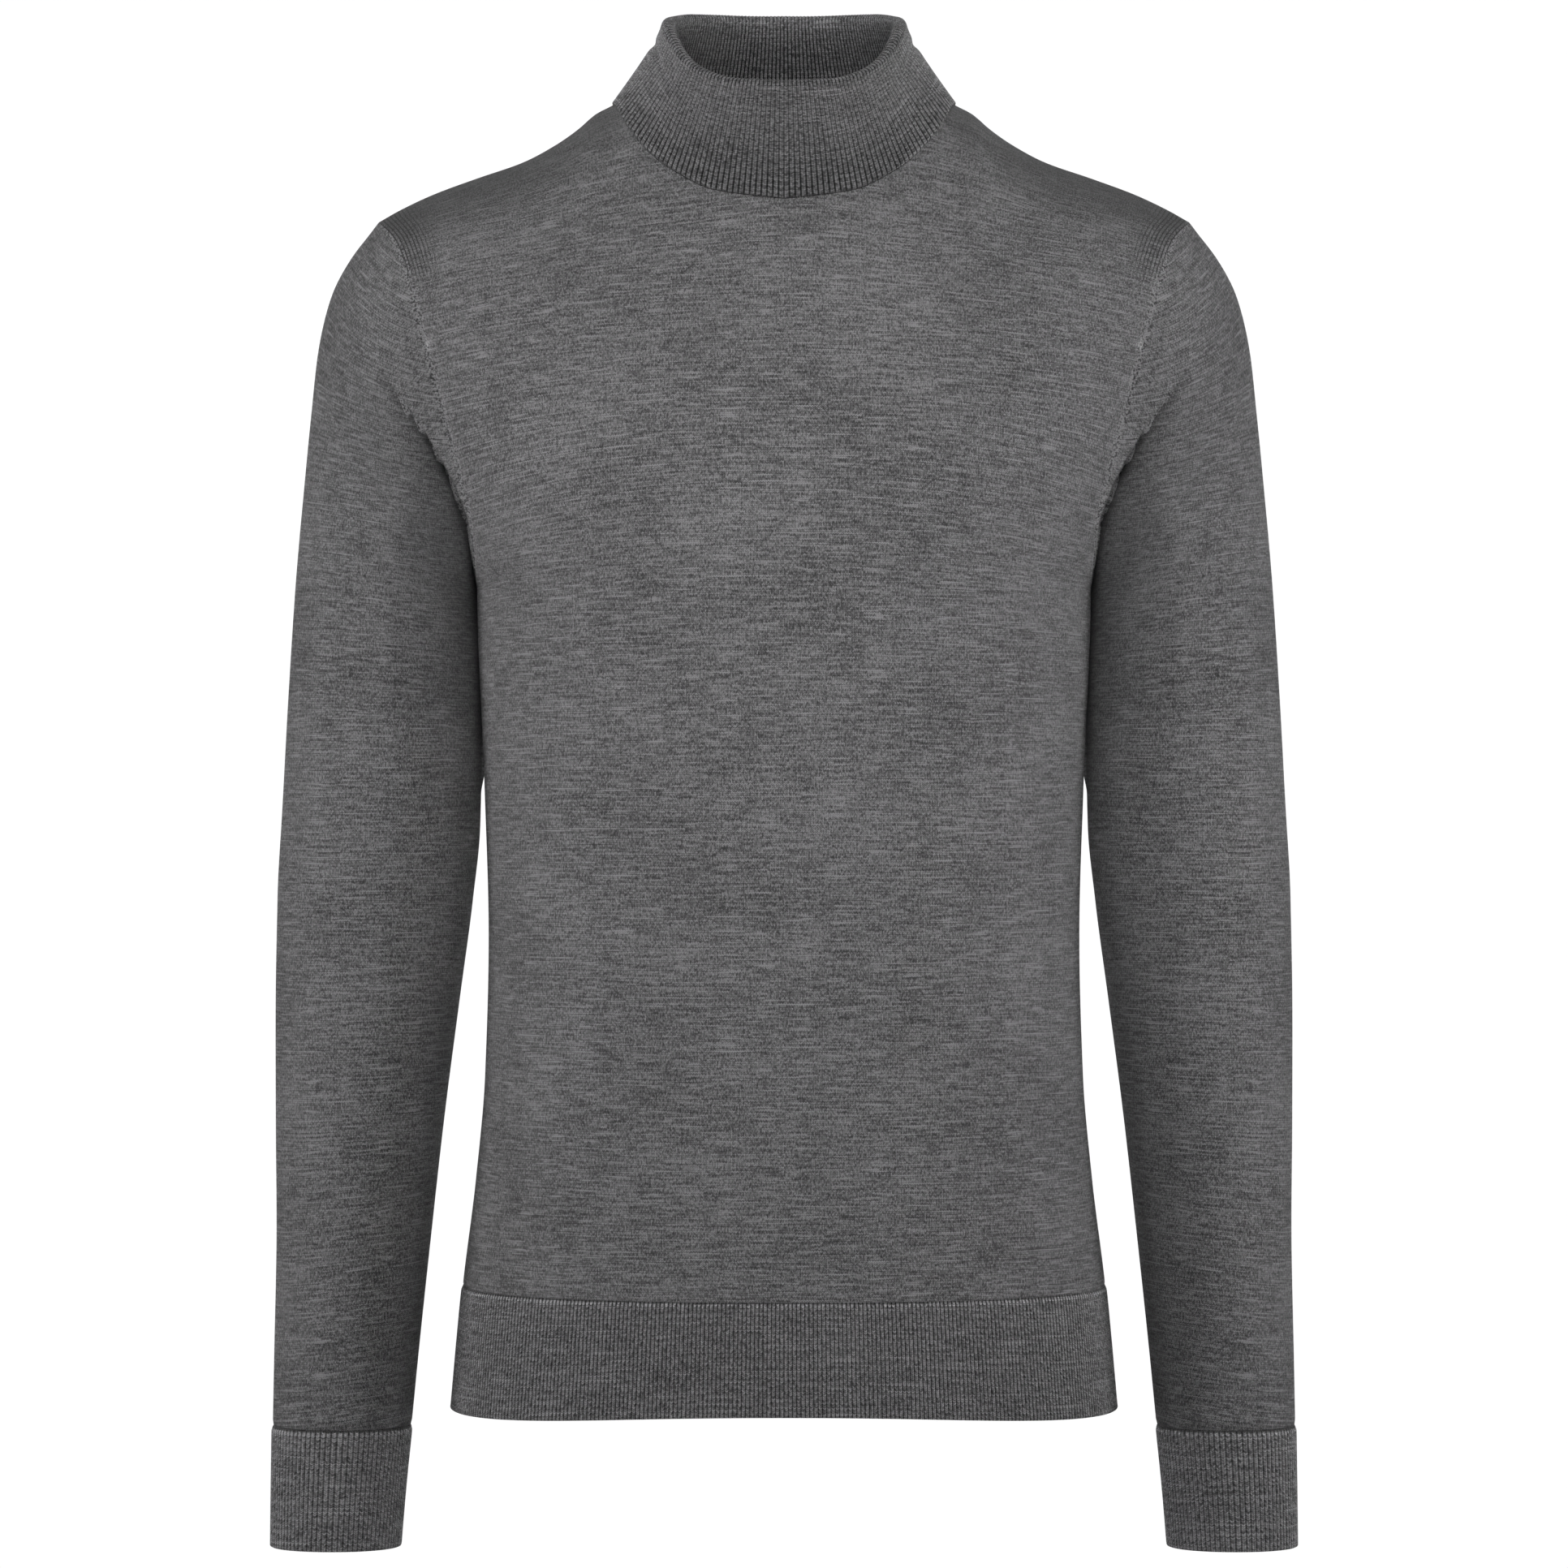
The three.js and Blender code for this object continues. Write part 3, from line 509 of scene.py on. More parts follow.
def panel(name, side):
    u = with_edges(np.linspace(0, 1, 2 * PANEL_HALF_COLUMNS + 1), COLUMN_MARGINS) * 2 - 1
    x, z = panel_places(side, u)
    wales = run_length(np.dstack([x * np.sign(u), trunk_depth(side, x, z)]), 1)
    middle = int(np.argmin(np.abs(u)))
    wales = wales - wales[:, middle : middle + 1]
    height, droop = panel_courses(side, x, z)
    uv = np.dstack([wales / WALE, (height + droop) / COURSE])

    grid = trunk_point(side, x * np.sign(u), z)
    to_seam = np.minimum(height, height[-1:] - height)
    to_armhole = wales[:, -1:] - np.abs(wales) + 0 * height
    if side["sign"] > 0:
        grid, uv = grid[:, ::-1], uv[:, ::-1] * (-1, 1)
        to_seam, to_armhole = to_seam[:, ::-1], to_armhole[:, ::-1]
    grid = folded(grid, side["sign"], PANEL_FOLDS[name])
    normal = grid_normals(grid, False)
    sink = np.maximum(seam_roll(to_seam), ARMHOLE_SINK_SHARE * seam_roll(to_armhole))
    outer = grid - normal * sink[..., None]
    inner = grid - normal * PLAIN_CLOTH
    for face in (outer, inner):
        face[..., 1] = side["sign"] * np.maximum(side["sign"] * face[..., 1], SEAM / 2)
    inner[0, :, 2] = HEM_SEAM_Z

    out_x, z = np.abs(grid[..., 0]), grid[..., 2]
    # Painted shade on the band below the shoulder seam; on the front a small paler knot of yarn is added
    painted_light_and_knot = -BAND_SHADE[name] * fade(crest_z(side, out_x) - z - BAND_HEIGHT, BAND_FADE)
    painted_light_and_knot *= fade(NECK_HALF_WIDTH - out_x, BAND_NECK_FADE)
    if name == "front_panel":
        knot = bell(np.hypot(out_x - KNOT_X, z - KNOT_Z), KNOT_SIZE)
        painted_light_and_knot += KNOT_PALENESS * knot
        outer = outer + normal * (KNOT_RISE * knot)[..., None]
    # Painted shade in the gaps between the wales that open beside the top of the armhole
    painted_wale_shade = fade(to_armhole - OPEN_WALES_REACH, OPEN_WALES_FADE)
    painted_wale_shade *= fade(OPEN_WALES_LOW_Z - z, OPEN_WALES_LOW_FADE)
    return cloth(name, (outer, uv), thinned_side(inner, uv, False, PANEL_BACK_STEPS), False, {
        "to_armhole": to_armhole, "painted_light_and_knot": painted_light_and_knot, "painted_wale_shade": painted_wale_shade,
    })


# Soft folds: each is a stroke seen from the front, which raises the cloth (or sinks it, if negative)

def stroke(x, z, row):
    """The height of one fold, with soft ends."""
    x1, z1, x2, z2, height, width = row
    along = np.array([x2 - x1, z2 - z1])
    length = np.hypot(*along)
    t = ((x - x1) * along[0] + (z - z1) * along[1]) / length**2
    aside = ((x - x1) * along[1] - (z - z1) * along[0]) / length
    ends = np.exp(-((2 * (t - 0.5)) ** 4))
    return height * bell(aside, width) * ends


def folded(grid, sign, folds):
    grid = grid.copy()
    for row in folds:
        grid[..., 1] += sign * stroke(grid[..., 0], grid[..., 2], row)
    return grid


# Columns: x1, z1, x2, z2, height, width
PANEL_FOLDS = {
    "front_panel": [
        (-150, -210, -60, -150, 1.4, 16),
        (150, -214, 66, -158, 1.2, 17),
        (-152, -300, -90, -330, -1.2, 18),
        (150, -310, 84, -346, -1.1, 16),
        (-140, -560, -40, -530, 1.0, 18),
        (136, -548, 30, -576, 1.0, 20),
    ],
    "back_panel": [
        (-150, -230, -60, -170, 1.6, 18),
        (146, -220, 70, -150, 1.5, 17),
        (-120, -470, 60, -500, -1.6, 20),
        (-40, -430, 130, -450, -1.4, 18),
        (-90, -520, 90, -540, 1.2, 18),
    ],
}

# Sleeves

# Columns in each quarter round a sleeve, from its inner seam over the front, finest at the crease
SLEEVE_QUARTERS = (88, 36, 28, 44)

# Rows of a sleeve: close together down to the underarm, wider below
SLEEVE_ROW_FINE = 1.1
SLEEVE_ROW_WIDE = 2.9
SLEEVE_FINE_LENGTH = 150
SLEEVE_BACK_STEPS = (4, 4)
BESIDE_SEAM_LEVEL = 0.03
LENGTH_STEPS = 1200

# Below the underarm the inner side of a sleeve rests against the trunk, as far down as this
REST_GAP = 0.3
REST_START_Z = -246
REST_START_FADE = 3
REST_END_Z = -342
REST_END_FADE = 14

# How far the courses of a sleeve tilt down towards the body, in degrees
COURSE_TILT = table("z degrees", [
    (-681, -7.5), (-600, -7), (-520, -3), (-430, 0), (-350, 0), (-290, 3), (-240, 8), (-190, 14),
    (-145, 28), (-95, 45), (-60, 50),
])
course_tilt = through(COURSE_TILT, "z", "degrees")


def section_functions(rows):
    return {name: through(rows, "level", name) for name in rows if name != "level"}


def section_at(functions, level):
    return {name: value(level) for name, value in functions.items()}


sleeve_sections = section_functions(SLEEVE)


def armhole(share):
    """The armhole seam as a loop from the shoulder point down the back and up the front."""
    share = share % 1
    in_front = share > 0.5
    rise = (1 - np.cos(np.pi * np.abs(2 * share - 1))) / 2
    z = lerp(UNDERARM_Z, SHOULDER_Z, rise)
    x = np.where(in_front, FRONT["armhole_x"](z), BACK["armhole_x"](z))
    y = np.where(in_front, trunk_y(FRONT, x, z), trunk_y(BACK, x, z))
    return point(x, y, z)


def tube_point(section, share):
    """A point on a section: share runs from 0 at the outer edge over the back to the inner edge and on."""
    turn = 2 * np.pi * share
    power = 2 / SLEEVE_SQUARENESS
    along = (1 + signed_power(np.cos(turn), power)) / 2
    depth = np.where(np.sin(turn) >= 0, section["back"], section["front"])
    return point(
        lerp(section["in_x"], section["out_x"], along),
        section["behind"] + depth * signed_power(np.sin(turn), power),
        lerp(section["in_z"], section["out_z"], along),
    )


def carried(loop, section):
    """The armhole loop carried to a section: its shape stays, its two ends move to the section's edges."""
    underarm = np.array([ARMHOLE["front"][0], UNDERARM_Z])
    axis = np.array([SHOULDER_X, SHOULDER_Z]) - underarm
    away = loop[..., [0, 2]] - underarm
    along = away @ axis / (axis @ axis)
    aside = (away[..., 0] * axis[1] - away[..., 1] * axis[0]) / np.hypot(*axis)
    target = np.dstack([section["out_x"] - section["in_x"], section["out_z"] - section["in_z"]])
    direction = unit(target)
    return point(
        section["in_x"] + target[..., 0] * along + direction[..., 1] * aside,
        loop[..., 1] + section["behind"],
        section["in_z"] + target[..., 1] * along - direction[..., 0] * aside,
    )


crease_x = through(CREASE, "z", "x")
crease_depth = through(CREASE, "z", "depth")
crease_width = through(CREASE, "z", "width")


def from_crease(x, z):
    """How far outboard of the crease's line a place lies, seen from the front, and the height beside it."""
    slope = (crease_x(z + 1) - crease_x(z - 1)) / 2
    away = x - crease_x(z)
    return away / np.sqrt(1 + slope**2), z + slope * away / (1 + slope**2)


def crease_at(x, z):
    """How far the crease sinks the cloth at a place seen from the front, and how far its lip leans out."""
    outboard, foot_z = from_crease(x, z)
    depth = crease_depth(foot_z)
    trough = np.clip(1 - outboard / crease_width(foot_z), 0, 1) ** CREASE_FALL
    slot = np.clip(1 - outboard / CREASE_SLOT_WIDTH, 0, 1) ** CREASE_SLOT_FALL
    beyond = lerp(trough, slot, CREASE_SLOT_SHARE)
    on_lip = np.clip(1 + outboard / CREASE_LIP, 0, 1)
    sunk = depth * np.where(outboard > 0, beyond, on_lip**3)
    lean = np.where(outboard > 0, 0, np.sin(np.pi * on_lip)) * np.minimum(depth / CREASE_FULL_LEAN_DEPTH, 1)
    return sunk, CREASE_OVERHANG * lean


def crease_shade(x, z):
    """How much of its lightness the cloth keeps under the crease's painted shade, from 1 away from it."""
    outboard, foot_z = from_crease(x, z)
    share = np.minimum(crease_depth(foot_z) / CREASE_DARK_DEPTH, 1) * (outboard > CREASE_SHADE_START)
    wide = 1 - share * CREASE_SHADE * np.exp(-np.abs(outboard) / CREASE_SHADE_REACH)
    return wide * (1 - share * CREASE_LINE_SHADE * bell(outboard, CREASE_LINE_REACH))


def sleeve_surface(level, share):
    section = section_at(sleeve_sections, level)
    grid = lerp(carried(armhole(share), section), tube_point(section, share), section["round"][..., None])
    in_front = share % 1 > 0.5
    direction = np.where(in_front, 1, -BACK_CREASE_SHARE) * (np.abs(share % 0.5) > 1e-9)
    start = np.minimum(level / CREASE_START, 1)
    sunk, lean = crease_at(grid[..., 0], grid[..., 2])
    room = np.maximum(np.abs(section["behind"] - grid[..., 1]) - INNER_GAP, 0.1)
    grid[..., 1] += np.sign(direction) * room * (1 - np.exp(-np.abs(direction) * start * sunk / room))
    grid[..., 0] += np.abs(direction) * start * lean
    return grid


def resting(grid):
    """Lays the inner side of a sleeve against the trunk below the underarm."""
    x, y, z = grid[..., 0], grid[..., 1], grid[..., 2]
    n = TRUNK_SQUARENESS
    depth = np.where(y < 0, FRONT["depth"](z), BACK["depth"](z))
    trunk_x = trunk_width(z) * np.maximum(1 - np.abs(y / depth) ** n, 0) ** (1 / n)
    gap = np.min(x - trunk_x, axis=1, keepdims=True) - REST_GAP
    low, high = x.min(axis=1, keepdims=True), x.max(axis=1, keepdims=True)
    inner_z = z[:, :1]
    starts = np.clip((REST_START_Z - inner_z) / REST_START_FADE, 0, 1)
    ends = np.clip((inner_z - REST_END_Z) / REST_END_FADE + 1, 0, 1)
    share = (starts * ends) ** 2 * (3 - 2 * starts * ends)
    grid = grid.copy()
    grid[..., 0] -= gap * share * (1 - (x - low) / (high - low)) ** 2
    return grid


def middle_length(sections, last):
    """Levels down a tube to its last, and the length of its middle line to each."""
    level = np.linspace(0, last, LENGTH_STEPS)
    section = section_at(sections, level)
    middle = np.dstack([section["out_x"] + section["in_x"], section["out_z"] + section["in_z"]])[0] / 2
    return level, run_length(middle, 0)


def sleeve_levels():
    """Levels from the cuff up to the armhole, close together in the part round the crease."""
    level, length = middle_length(sleeve_sections, SLEEVE["level"][-1])
    fine = np.arange(0, SLEEVE_FINE_LENGTH, SLEEVE_ROW_FINE)
    count = int((length[-1] - SLEEVE_FINE_LENGTH) / SLEEVE_ROW_WIDE)
    wide = np.linspace(SLEEVE_FINE_LENGTH, length[-1], count)
    levels = np.interp(np.concatenate([fine, wide])[::-1], length, level)
    return np.insert(levels, -1, BESIDE_SEAM_LEVEL)


def sleeve(name, mirror):
    level = sleeve_levels()[:, None]
    quarters = [(k + np.arange(count) / count) / 4 for k, count in enumerate(SLEEVE_QUARTERS)]
    share = 0.5 + np.append(np.concatenate(quarters), 1)[None, :]
    grid = resting(sleeve_surface(level, share))
    around = run_length(grid, 1)
    outer_line = sum(SLEEVE_QUARTERS[:2])
    wales = around - around[:, outer_line : outer_line + 1]
    x, z = grid[..., 0], grid[..., 2]
    section = section_at(sleeve_sections, level)
    middle_x = (section["out_x"] + section["in_x"]) / 2
    height = z - (x - middle_x) * np.tan(np.radians(course_tilt(z)))
    uv = np.dstack([wales / WALE, height / COURSE])

    grid = sleeve_folds(grid[:, :-1], name)
    to_seam = run_length(grid, 0)
    to_armhole = to_seam[-1:] - to_seam
    x, z = grid[..., 0], grid[..., 2]
    # Painted shade in the crease and along its line, and on the lower inner side of the sleeve
    inner_shade = INNER_SIDE_SHADE * bell(x - section["in_x"], INNER_SIDE_REACH)
    painted_light_and_knot = crease_shade(x, z) * (1 - inner_shade * fade(z - INNER_SIDE_END_Z, INNER_SIDE_FADE)) - 1
    if mirror:
        grid, uv = mirrored(grid), uv[:, ::-1]
        to_seam, to_armhole, painted_light_and_knot = [mirrored_columns(v) for v in (to_seam, to_armhole, painted_light_and_knot)]
    normal = grid_normals(grid, True)
    sink = seam_roll(to_seam) + ARMHOLE_SINK_SHARE * seam_roll(to_armhole)
    outer = grid - normal * sink[..., None]
    outer[-1] += unit(grid[-1] - grid[-3]) * TUCK_LENGTH - normal[-1] * TUCK_DEPTH
    inner = grid - normal * PLAIN_CLOTH
    inner[0, :, 2] = grid[0, 0, 2]
    return cloth(name, (outer, uv), thinned_side(inner, uv, True, SLEEVE_BACK_STEPS), True, {
        "to_armhole": to_armhole, "painted_light_and_knot": painted_light_and_knot,
    })


def mirrored_columns(values):
    """Columns of a closed grid in the other direction, still from the same start."""
    return np.concatenate([values[:, :1], values[:, :0:-1]], axis=1)


def mirrored(grid):
    return mirrored_columns(grid) * (-1, 1, 1)


# How softly a fold ends between the front and the back of a sleeve
SLEEVE_SIDE_FADE = 6

# Columns: x1, z1, x2, z2, height, width, and 1 for the front or -1 for the back
SLEEVE_FOLDS = {
    "sleeve_left": [
        (170, -204, 192, -193, 1.1, 2.6, 1), (168, -211, 188, -203, -0.8, 2.4, 1),
        (167, -219, 190, -210, 0.9, 2.8, 1), (182, -183, 202, -173, 0.7, 3.0, 1),
        (248.5, -300, 251, -368, 0.4, 1.5, 1),
        (186, -395, 236, -372, -1.3, 13, 1), (190, -440, 244, -424, 1.2, 12, 1),
        (196, -404, 246, -430, -2.0, 12, -1), (188, -446, 240, -470, -1.8, 12, -1),
    ],
    "sleeve_right": [
        (171, -201, 190, -190, 1.0, 2.6, 1), (168, -209, 189, -199, -0.8, 2.6, 1),
        (168, -217, 188, -209, 1.0, 2.6, 1), (184, -186, 201, -178, 0.6, 3.0, 1),
        (248.5, -300, 251, -368, 0.4, 1.5, 1),
        (184, -388, 230, -370, -1.2, 13, 1), (188, -432, 240, -420, 1.2, 12, 1),
        (198, -412, 244, -436, -2.0, 12, -1), (190, -452, 238, -478, -1.6, 12, -1),
    ],
}


def sleeve_folds(grid, name):
    grid = grid.copy()
    for *row, facing in SLEEVE_FOLDS[name]:
        on_side = fade(facing * grid[..., 1], SLEEVE_SIDE_FADE)
        grid[..., 1] -= facing * on_side * stroke(grid[..., 0], grid[..., 2], row)
    return grid


# Ribs

EDGE_TURNS = np.radians([35, 70, 105, 140])
RIB_ROUNDNESS = 2.2
RIB_BACK_STEPS = (6, RIB_COLUMNS * 4)

# The ribs flatten towards their seam. The rounded edge has no stitches of its own and is far from any seam
RIB_SEAM_SHARE = 0.5
RIB_SEAM_REACH = 1.5
EDGE_HEIGHT = -1.0
FAR_FROM_SEAM = 60.0

HEM_ROWS = 34
CUFF_ROWS = 30
TURN_STEPS = 2001

# How much painted shade the grooves between the ribs get
HEM_GROOVE_SHADE = 0.95
CUFF_GROOVE_SHADE = 0.45

cuff_sections = section_functions(CUFF)


def rounded_end(middle, normal, onward, relief, half):
    """Rows that carry a ribbed face round the cloth's free edge, from the hidden side to the face."""
    rows = []
    for turn in EDGE_TURNS[::-1]:
        out = half * math.cos(turn) + relief * max(math.cos(turn), 0)
        rows.append(middle + normal * out[..., None] + onward * HALF_RIB_CLOTH * math.sin(turn))
    return np.array(rows)


def rib_profile(columns):
    across = np.arange(columns) / RIB_COLUMNS % 1
    return 1 - np.abs(2 * across - 1) ** RIB_ROUNDNESS


def even_turn(side, at):
    """The turn round half of the trunk at a share of its length, so that the ribs are evenly wide."""
    turn = np.linspace(-np.pi / 2, np.pi / 2, TURN_STEPS)
    power = 2 / TRUNK_SQUARENESS
    x = trunk_width(HEM_END_Z) * signed_power(np.sin(turn), power)
    y = side["depth"](HEM_END_Z) * np.abs(np.cos(turn)) ** power
    length = run_length(np.stack([x, y], axis=-1), 0)
    return np.interp(at, length / length[-1], turn)


def ribbed_piece(name, base, closed, painted_groove_shade):
    """A ribbed piece that hangs from a seam at its top row and ends in a free edge at its bottom row."""
    normal = grid_normals(base, closed)
    columns = base.shape[1]
    length = run_length(base, 0)
    to_seam = length[-1:] - length
    ribs = RIB_RELIEF * rib_profile(columns)
    face = base + normal * (ribs * (1 - RIB_SEAM_SHARE * bell(to_seam, RIB_SEAM_REACH)))[..., None]
    face -= normal * seam_roll(to_seam)[..., None]
    face[0, :, 2] += HALF_RIB_CLOTH
    middle = base[0] + (0, 0, HALF_RIB_CLOTH) - normal[0] * HALF_RIB_CLOTH
    end = rounded_end(middle, normal[0], -UP, ribs, HALF_RIB_CLOTH)
    face = np.vstack([end, face])
    inner = base - normal * RIB_CLOTH
    inner[0, :, 2] += HALF_RIB_CLOTH
    if not closed:
        sign = np.sign(base[0, columns // 2, 1])
        for grid in (face, inner):
            grid[..., 1] = sign * np.maximum(sign * grid[..., 1], SEAM / 2)
    rib = np.arange(columns + closed) / RIB_COLUMNS
    height = np.vstack([np.full((len(end), columns), EDGE_HEIGHT), length])
    height = np.hstack([height, height[:, :1]]) if closed else height
    uv = np.dstack([np.broadcast_to(rib, height.shape), height / COURSE])
    to_seam = np.vstack([np.full((len(end), columns), FAR_FROM_SEAM), to_seam])
    # The piece's painted groove shade is the same all over it
    return cloth(name, (face, uv), thinned_side(inner, uv[len(end):], closed, RIB_BACK_STEPS), closed, {
        "to_seam": to_seam, "painted_groove_shade": np.full(to_seam.shape, painted_groove_shade),
    })


def hem(name, side):
    turn = even_turn(side, np.linspace(0, 1, HEM_RIBS_PER_SIDE * RIB_COLUMNS + 1)[None, :])
    level = np.linspace(1, 0, HEM_ROWS)[:, None]
    z = lerp(HEM_SEAM_Z - SEAM, HEM_END_Z + HEM_CENTRE_LIFT * np.cos(turn) ** 4, level)
    x = -side["sign"] * trunk_width(z) * signed_power(np.sin(turn), 2 / TRUNK_SQUARENESS)
    return ribbed_piece(name, trunk_point(side, x, z), False, HEM_GROOVE_SHADE)


def cuff_levels():
    """Levels from the free end of a cuff up to its seam, evenly apart along its middle."""
    level, length = middle_length(cuff_sections, CUFF["level"][-1])
    return np.interp(np.linspace(length[-1], 0, CUFF_ROWS + 1), length, level)


def cuff(name, mirror):
    columns = CUFF_RIBS * RIB_COLUMNS
    share = 0.5 + np.arange(columns)[None, :] / columns
    base = tube_point(section_at(cuff_sections, cuff_levels()[:, None]), share)
    base[..., 2] -= SEAM
    return ribbed_piece(name, mirrored(base) if mirror else base, True, CUFF_GROOVE_SHADE)


# Collar

fold_z = through(COLLAR, "turn", "fold")
collar_edge_z = through(COLLAR, "turn", "edge")

# Rows of its outer side from the neck seam over the roll to the free edge, then of its inner side
STANDING_SHARES = np.linspace(0, 1, 14)[:-1]
ROLL_DEGREES = np.linspace(0, 165, 9)
LAYER_FALLS = np.linspace(0.03, 1, 34)
INNER_STANDING_SHARES = np.linspace(0, 1, 6)[:-1]
INNER_ROLL_DEGREES = (0, 45, 90, 135)
INNER_LAYER_FALLS = np.linspace(0.06, 1, 10)
TIP_FALL = 0.97

# How the outer layer bends on its way down, first at the front and then at the sides: where its bend lies,
# and how far out. At the sides it also has a slight kink and a thinner edge
BEND_SHARE = (0.45, 0.25)
BEND_OUT = (2, -4)
KINK_DEPTH = 1.3
KINK_FALL = 0.36
KINK_REACH = 0.07
SIDE_THINNING = 0.9

# Ribs are pressed flat inside and on the roll
FLAT_RELIEF = 0.35
ROLL_RELIEF_SHARE = 0.8

# Painted light and shade: how much lighter or darker the cloth is painted on each stretch, and how much
# painted shade its grooves get, from start to end
STANDING_LIGHTER = -0.34
STANDING_PAINTED_LIGHT = 0.56
ROLL_LIGHTER = -0.15
LAYER_LIGHTER = (-0.22, -0.4)
TURNED_PAINTED_LIGHT = 0.37
STANDING_GROOVE_SHADE = (2.0, 1.2)
ROLL_GROOVE_SHADE = (1.5, 0.8)
LAYER_GROOVE_SHADE = (0.15, 1.35)
LAYER_GROOVE_SHADE_START = 0.4
LAYER_GROOVE_SHADE_LENGTH = 0.5


def degrees_round(at):
    share = at % 1
    return 360 * np.minimum(share, 1 - share)


def fold_outward(at):
    turn = 2 * np.pi * at
    return point(np.sin(turn), -np.cos(turn), 0)


def fold_point(at):
    turn = 2 * np.pi * at
    y = FOLD_CENTRE_Y - FOLD_HALF_DEPTH * np.cos(turn)
    return point(FOLD_HALF_WIDTH * np.sin(turn), y, fold_z(degrees_round(at)))


def on_trunk(at, x, z):
    """A point on the front or the back and its normal there, whichever a place round the neck lies on."""
    in_front = (degrees_round(at) < 90)[..., None]
    both = [trunk_point(side, x, np.minimum(z, crest_z(side, np.abs(x)))) for side in (FRONT, BACK)]
    outward = [trunk_normal(side, p) for side, p in zip((FRONT, BACK), both)]
    return np.where(in_front, *both), np.where(in_front, *outward)


def collar_edge(at):
    x = COLLAR_EDGE_HALF_WIDTH * np.sin(2 * np.pi * at)
    p, outward = on_trunk(at, x, collar_edge_z(degrees_round(at)))
    at_side = np.abs(np.sin(2 * np.pi * at)) ** 6
    return p + outward * lerp(COLLAR_EDGE_LIFT, COLLAR_SIDE_LIFT, at_side)[..., None]


def neck_edge(at):
    """The edge of the neck hole on the outer faces of the panels, and the normal there."""
    turn = 2 * np.pi * at
    low = np.where(degrees_round(at) < 90, NECK_FRONT_Z, NECK_BACK_Z)
    z = low + (NECK_SIDE_Z - low) * (1 - np.abs(np.cos(turn)))
    return on_trunk(at, NECK_HALF_WIDTH * np.sin(turn), z)


def collar_layer(at, fall):
    """A point on the turned-down layer: fall is 0 at the roll and 1 at the lower edge."""
    start = fold_point(at) + fold_outward(at) * FOLD_RADIUS
    end = collar_edge(at)
    sideways = (np.sin(2 * np.pi * at) ** 2)[..., None]
    bend = lerp(start, end, lerp(*BEND_SHARE, sideways)) + fold_outward(at) * lerp(*BEND_OUT, sideways)
    return start * (1 - fall) ** 2 + bend * 2 * fall * (1 - fall) + end * fall**2


def layer_normal(at, fall):
    step = 1e-3
    along = collar_layer(at + step, fall) - collar_layer(at - step, fall)
    up = collar_layer(at, max(fall - step, 0)) - collar_layer(at, min(fall + step, 1))
    return unit(np.cross(along, up))


def roll_point(at, degrees, radius):
    """A point on the roll at the top: at 0 degrees inside, at 90 on top."""
    turn = math.radians(degrees)
    return fold_point(at) - fold_outward(at) * radius * math.cos(turn) + UP * radius * math.sin(turn)


def standing_point(at, foot, radius, share):
    """A point on the standing layer, from its foot up to the start of the roll."""
    straight = lerp(foot, roll_point(at, 0, radius), share)
    return straight - fold_outward(at) * 4 * STANDING_DRAW_IN * share * (1 - share)


def collar_rows(at):
    """Rows of the outer side from the neck seam on: points, relief of the ribs, painted light and shade, and
    painted groove shade.
    """
    behind, sideways = (1 - np.cos(2 * np.pi * at)) / 2, np.sin(2 * np.pi * at) ** 2
    edge, edge_normal = neck_edge(at)
    foot = edge - edge_normal * PLAIN_CLOTH + UP * SEAM
    radius = FOLD_RADIUS + HALF_RIB_CLOTH
    for share in STANDING_SHARES:
        # Painted shade inside the standing layer, with painted light towards the roll at the back
        painted_light_and_knot = STANDING_LIGHTER + STANDING_PAINTED_LIGHT * share**5 * behind
        painted_groove_shade = lerp(*STANDING_GROOVE_SHADE, share**3) + 0 * at
        yield standing_point(at, foot, radius, share), FLAT_RELIEF, painted_light_and_knot, painted_groove_shade
    for degrees in ROLL_DEGREES:
        relief = lerp(FLAT_RELIEF, RIB_RELIEF, degrees / ROLL_DEGREES[-1]) * ROLL_RELIEF_SHARE
        # Painted shade on the roll, with painted light at the back
        painted_light_and_knot = ROLL_LIGHTER + TURNED_PAINTED_LIGHT * behind
        yield roll_point(at, degrees, radius), relief, painted_light_and_knot, lerp(*ROLL_GROOVE_SHADE, behind)
    for fall in LAYER_FALLS:
        kink = KINK_DEPTH * bell(fall - KINK_FALL, KINK_REACH) * sideways**2
        thinner = SIDE_THINNING * sideways**3 * fall**4
        out = (HALF_RIB_CLOTH - kink - thinner)[:, None]
        gap_shade = np.clip((fall - LAYER_GROOVE_SHADE_START) / LAYER_GROOVE_SHADE_LENGTH, 0, 1) ** 1.5
        # Painted shade, darker towards the edge, with painted light at the sides
        painted_light_and_knot = lerp(*LAYER_LIGHTER, fall) + TURNED_PAINTED_LIGHT * sideways
        points = collar_layer(at, fall) + layer_normal(at, fall) * out
        yield points, RIB_RELIEF, painted_light_and_knot, lerp(*LAYER_GROOVE_SHADE, gap_shade) + 0 * at


def collar_inner_rows(at):
    """Rows of the inner side, from the neck seam on."""
    foot = neck_edge(at)[0] + UP * SEAM
    radius = FOLD_RADIUS - HALF_RIB_CLOTH
    yield from (standing_point(at, foot, radius, share) for share in INNER_STANDING_SHARES)
    yield from (roll_point(at, degrees, radius) for degrees in INNER_ROLL_DEGREES)
    for fall in INNER_LAYER_FALLS:
        yield collar_layer(at, fall) - layer_normal(at, fall) * HALF_RIB_CLOTH


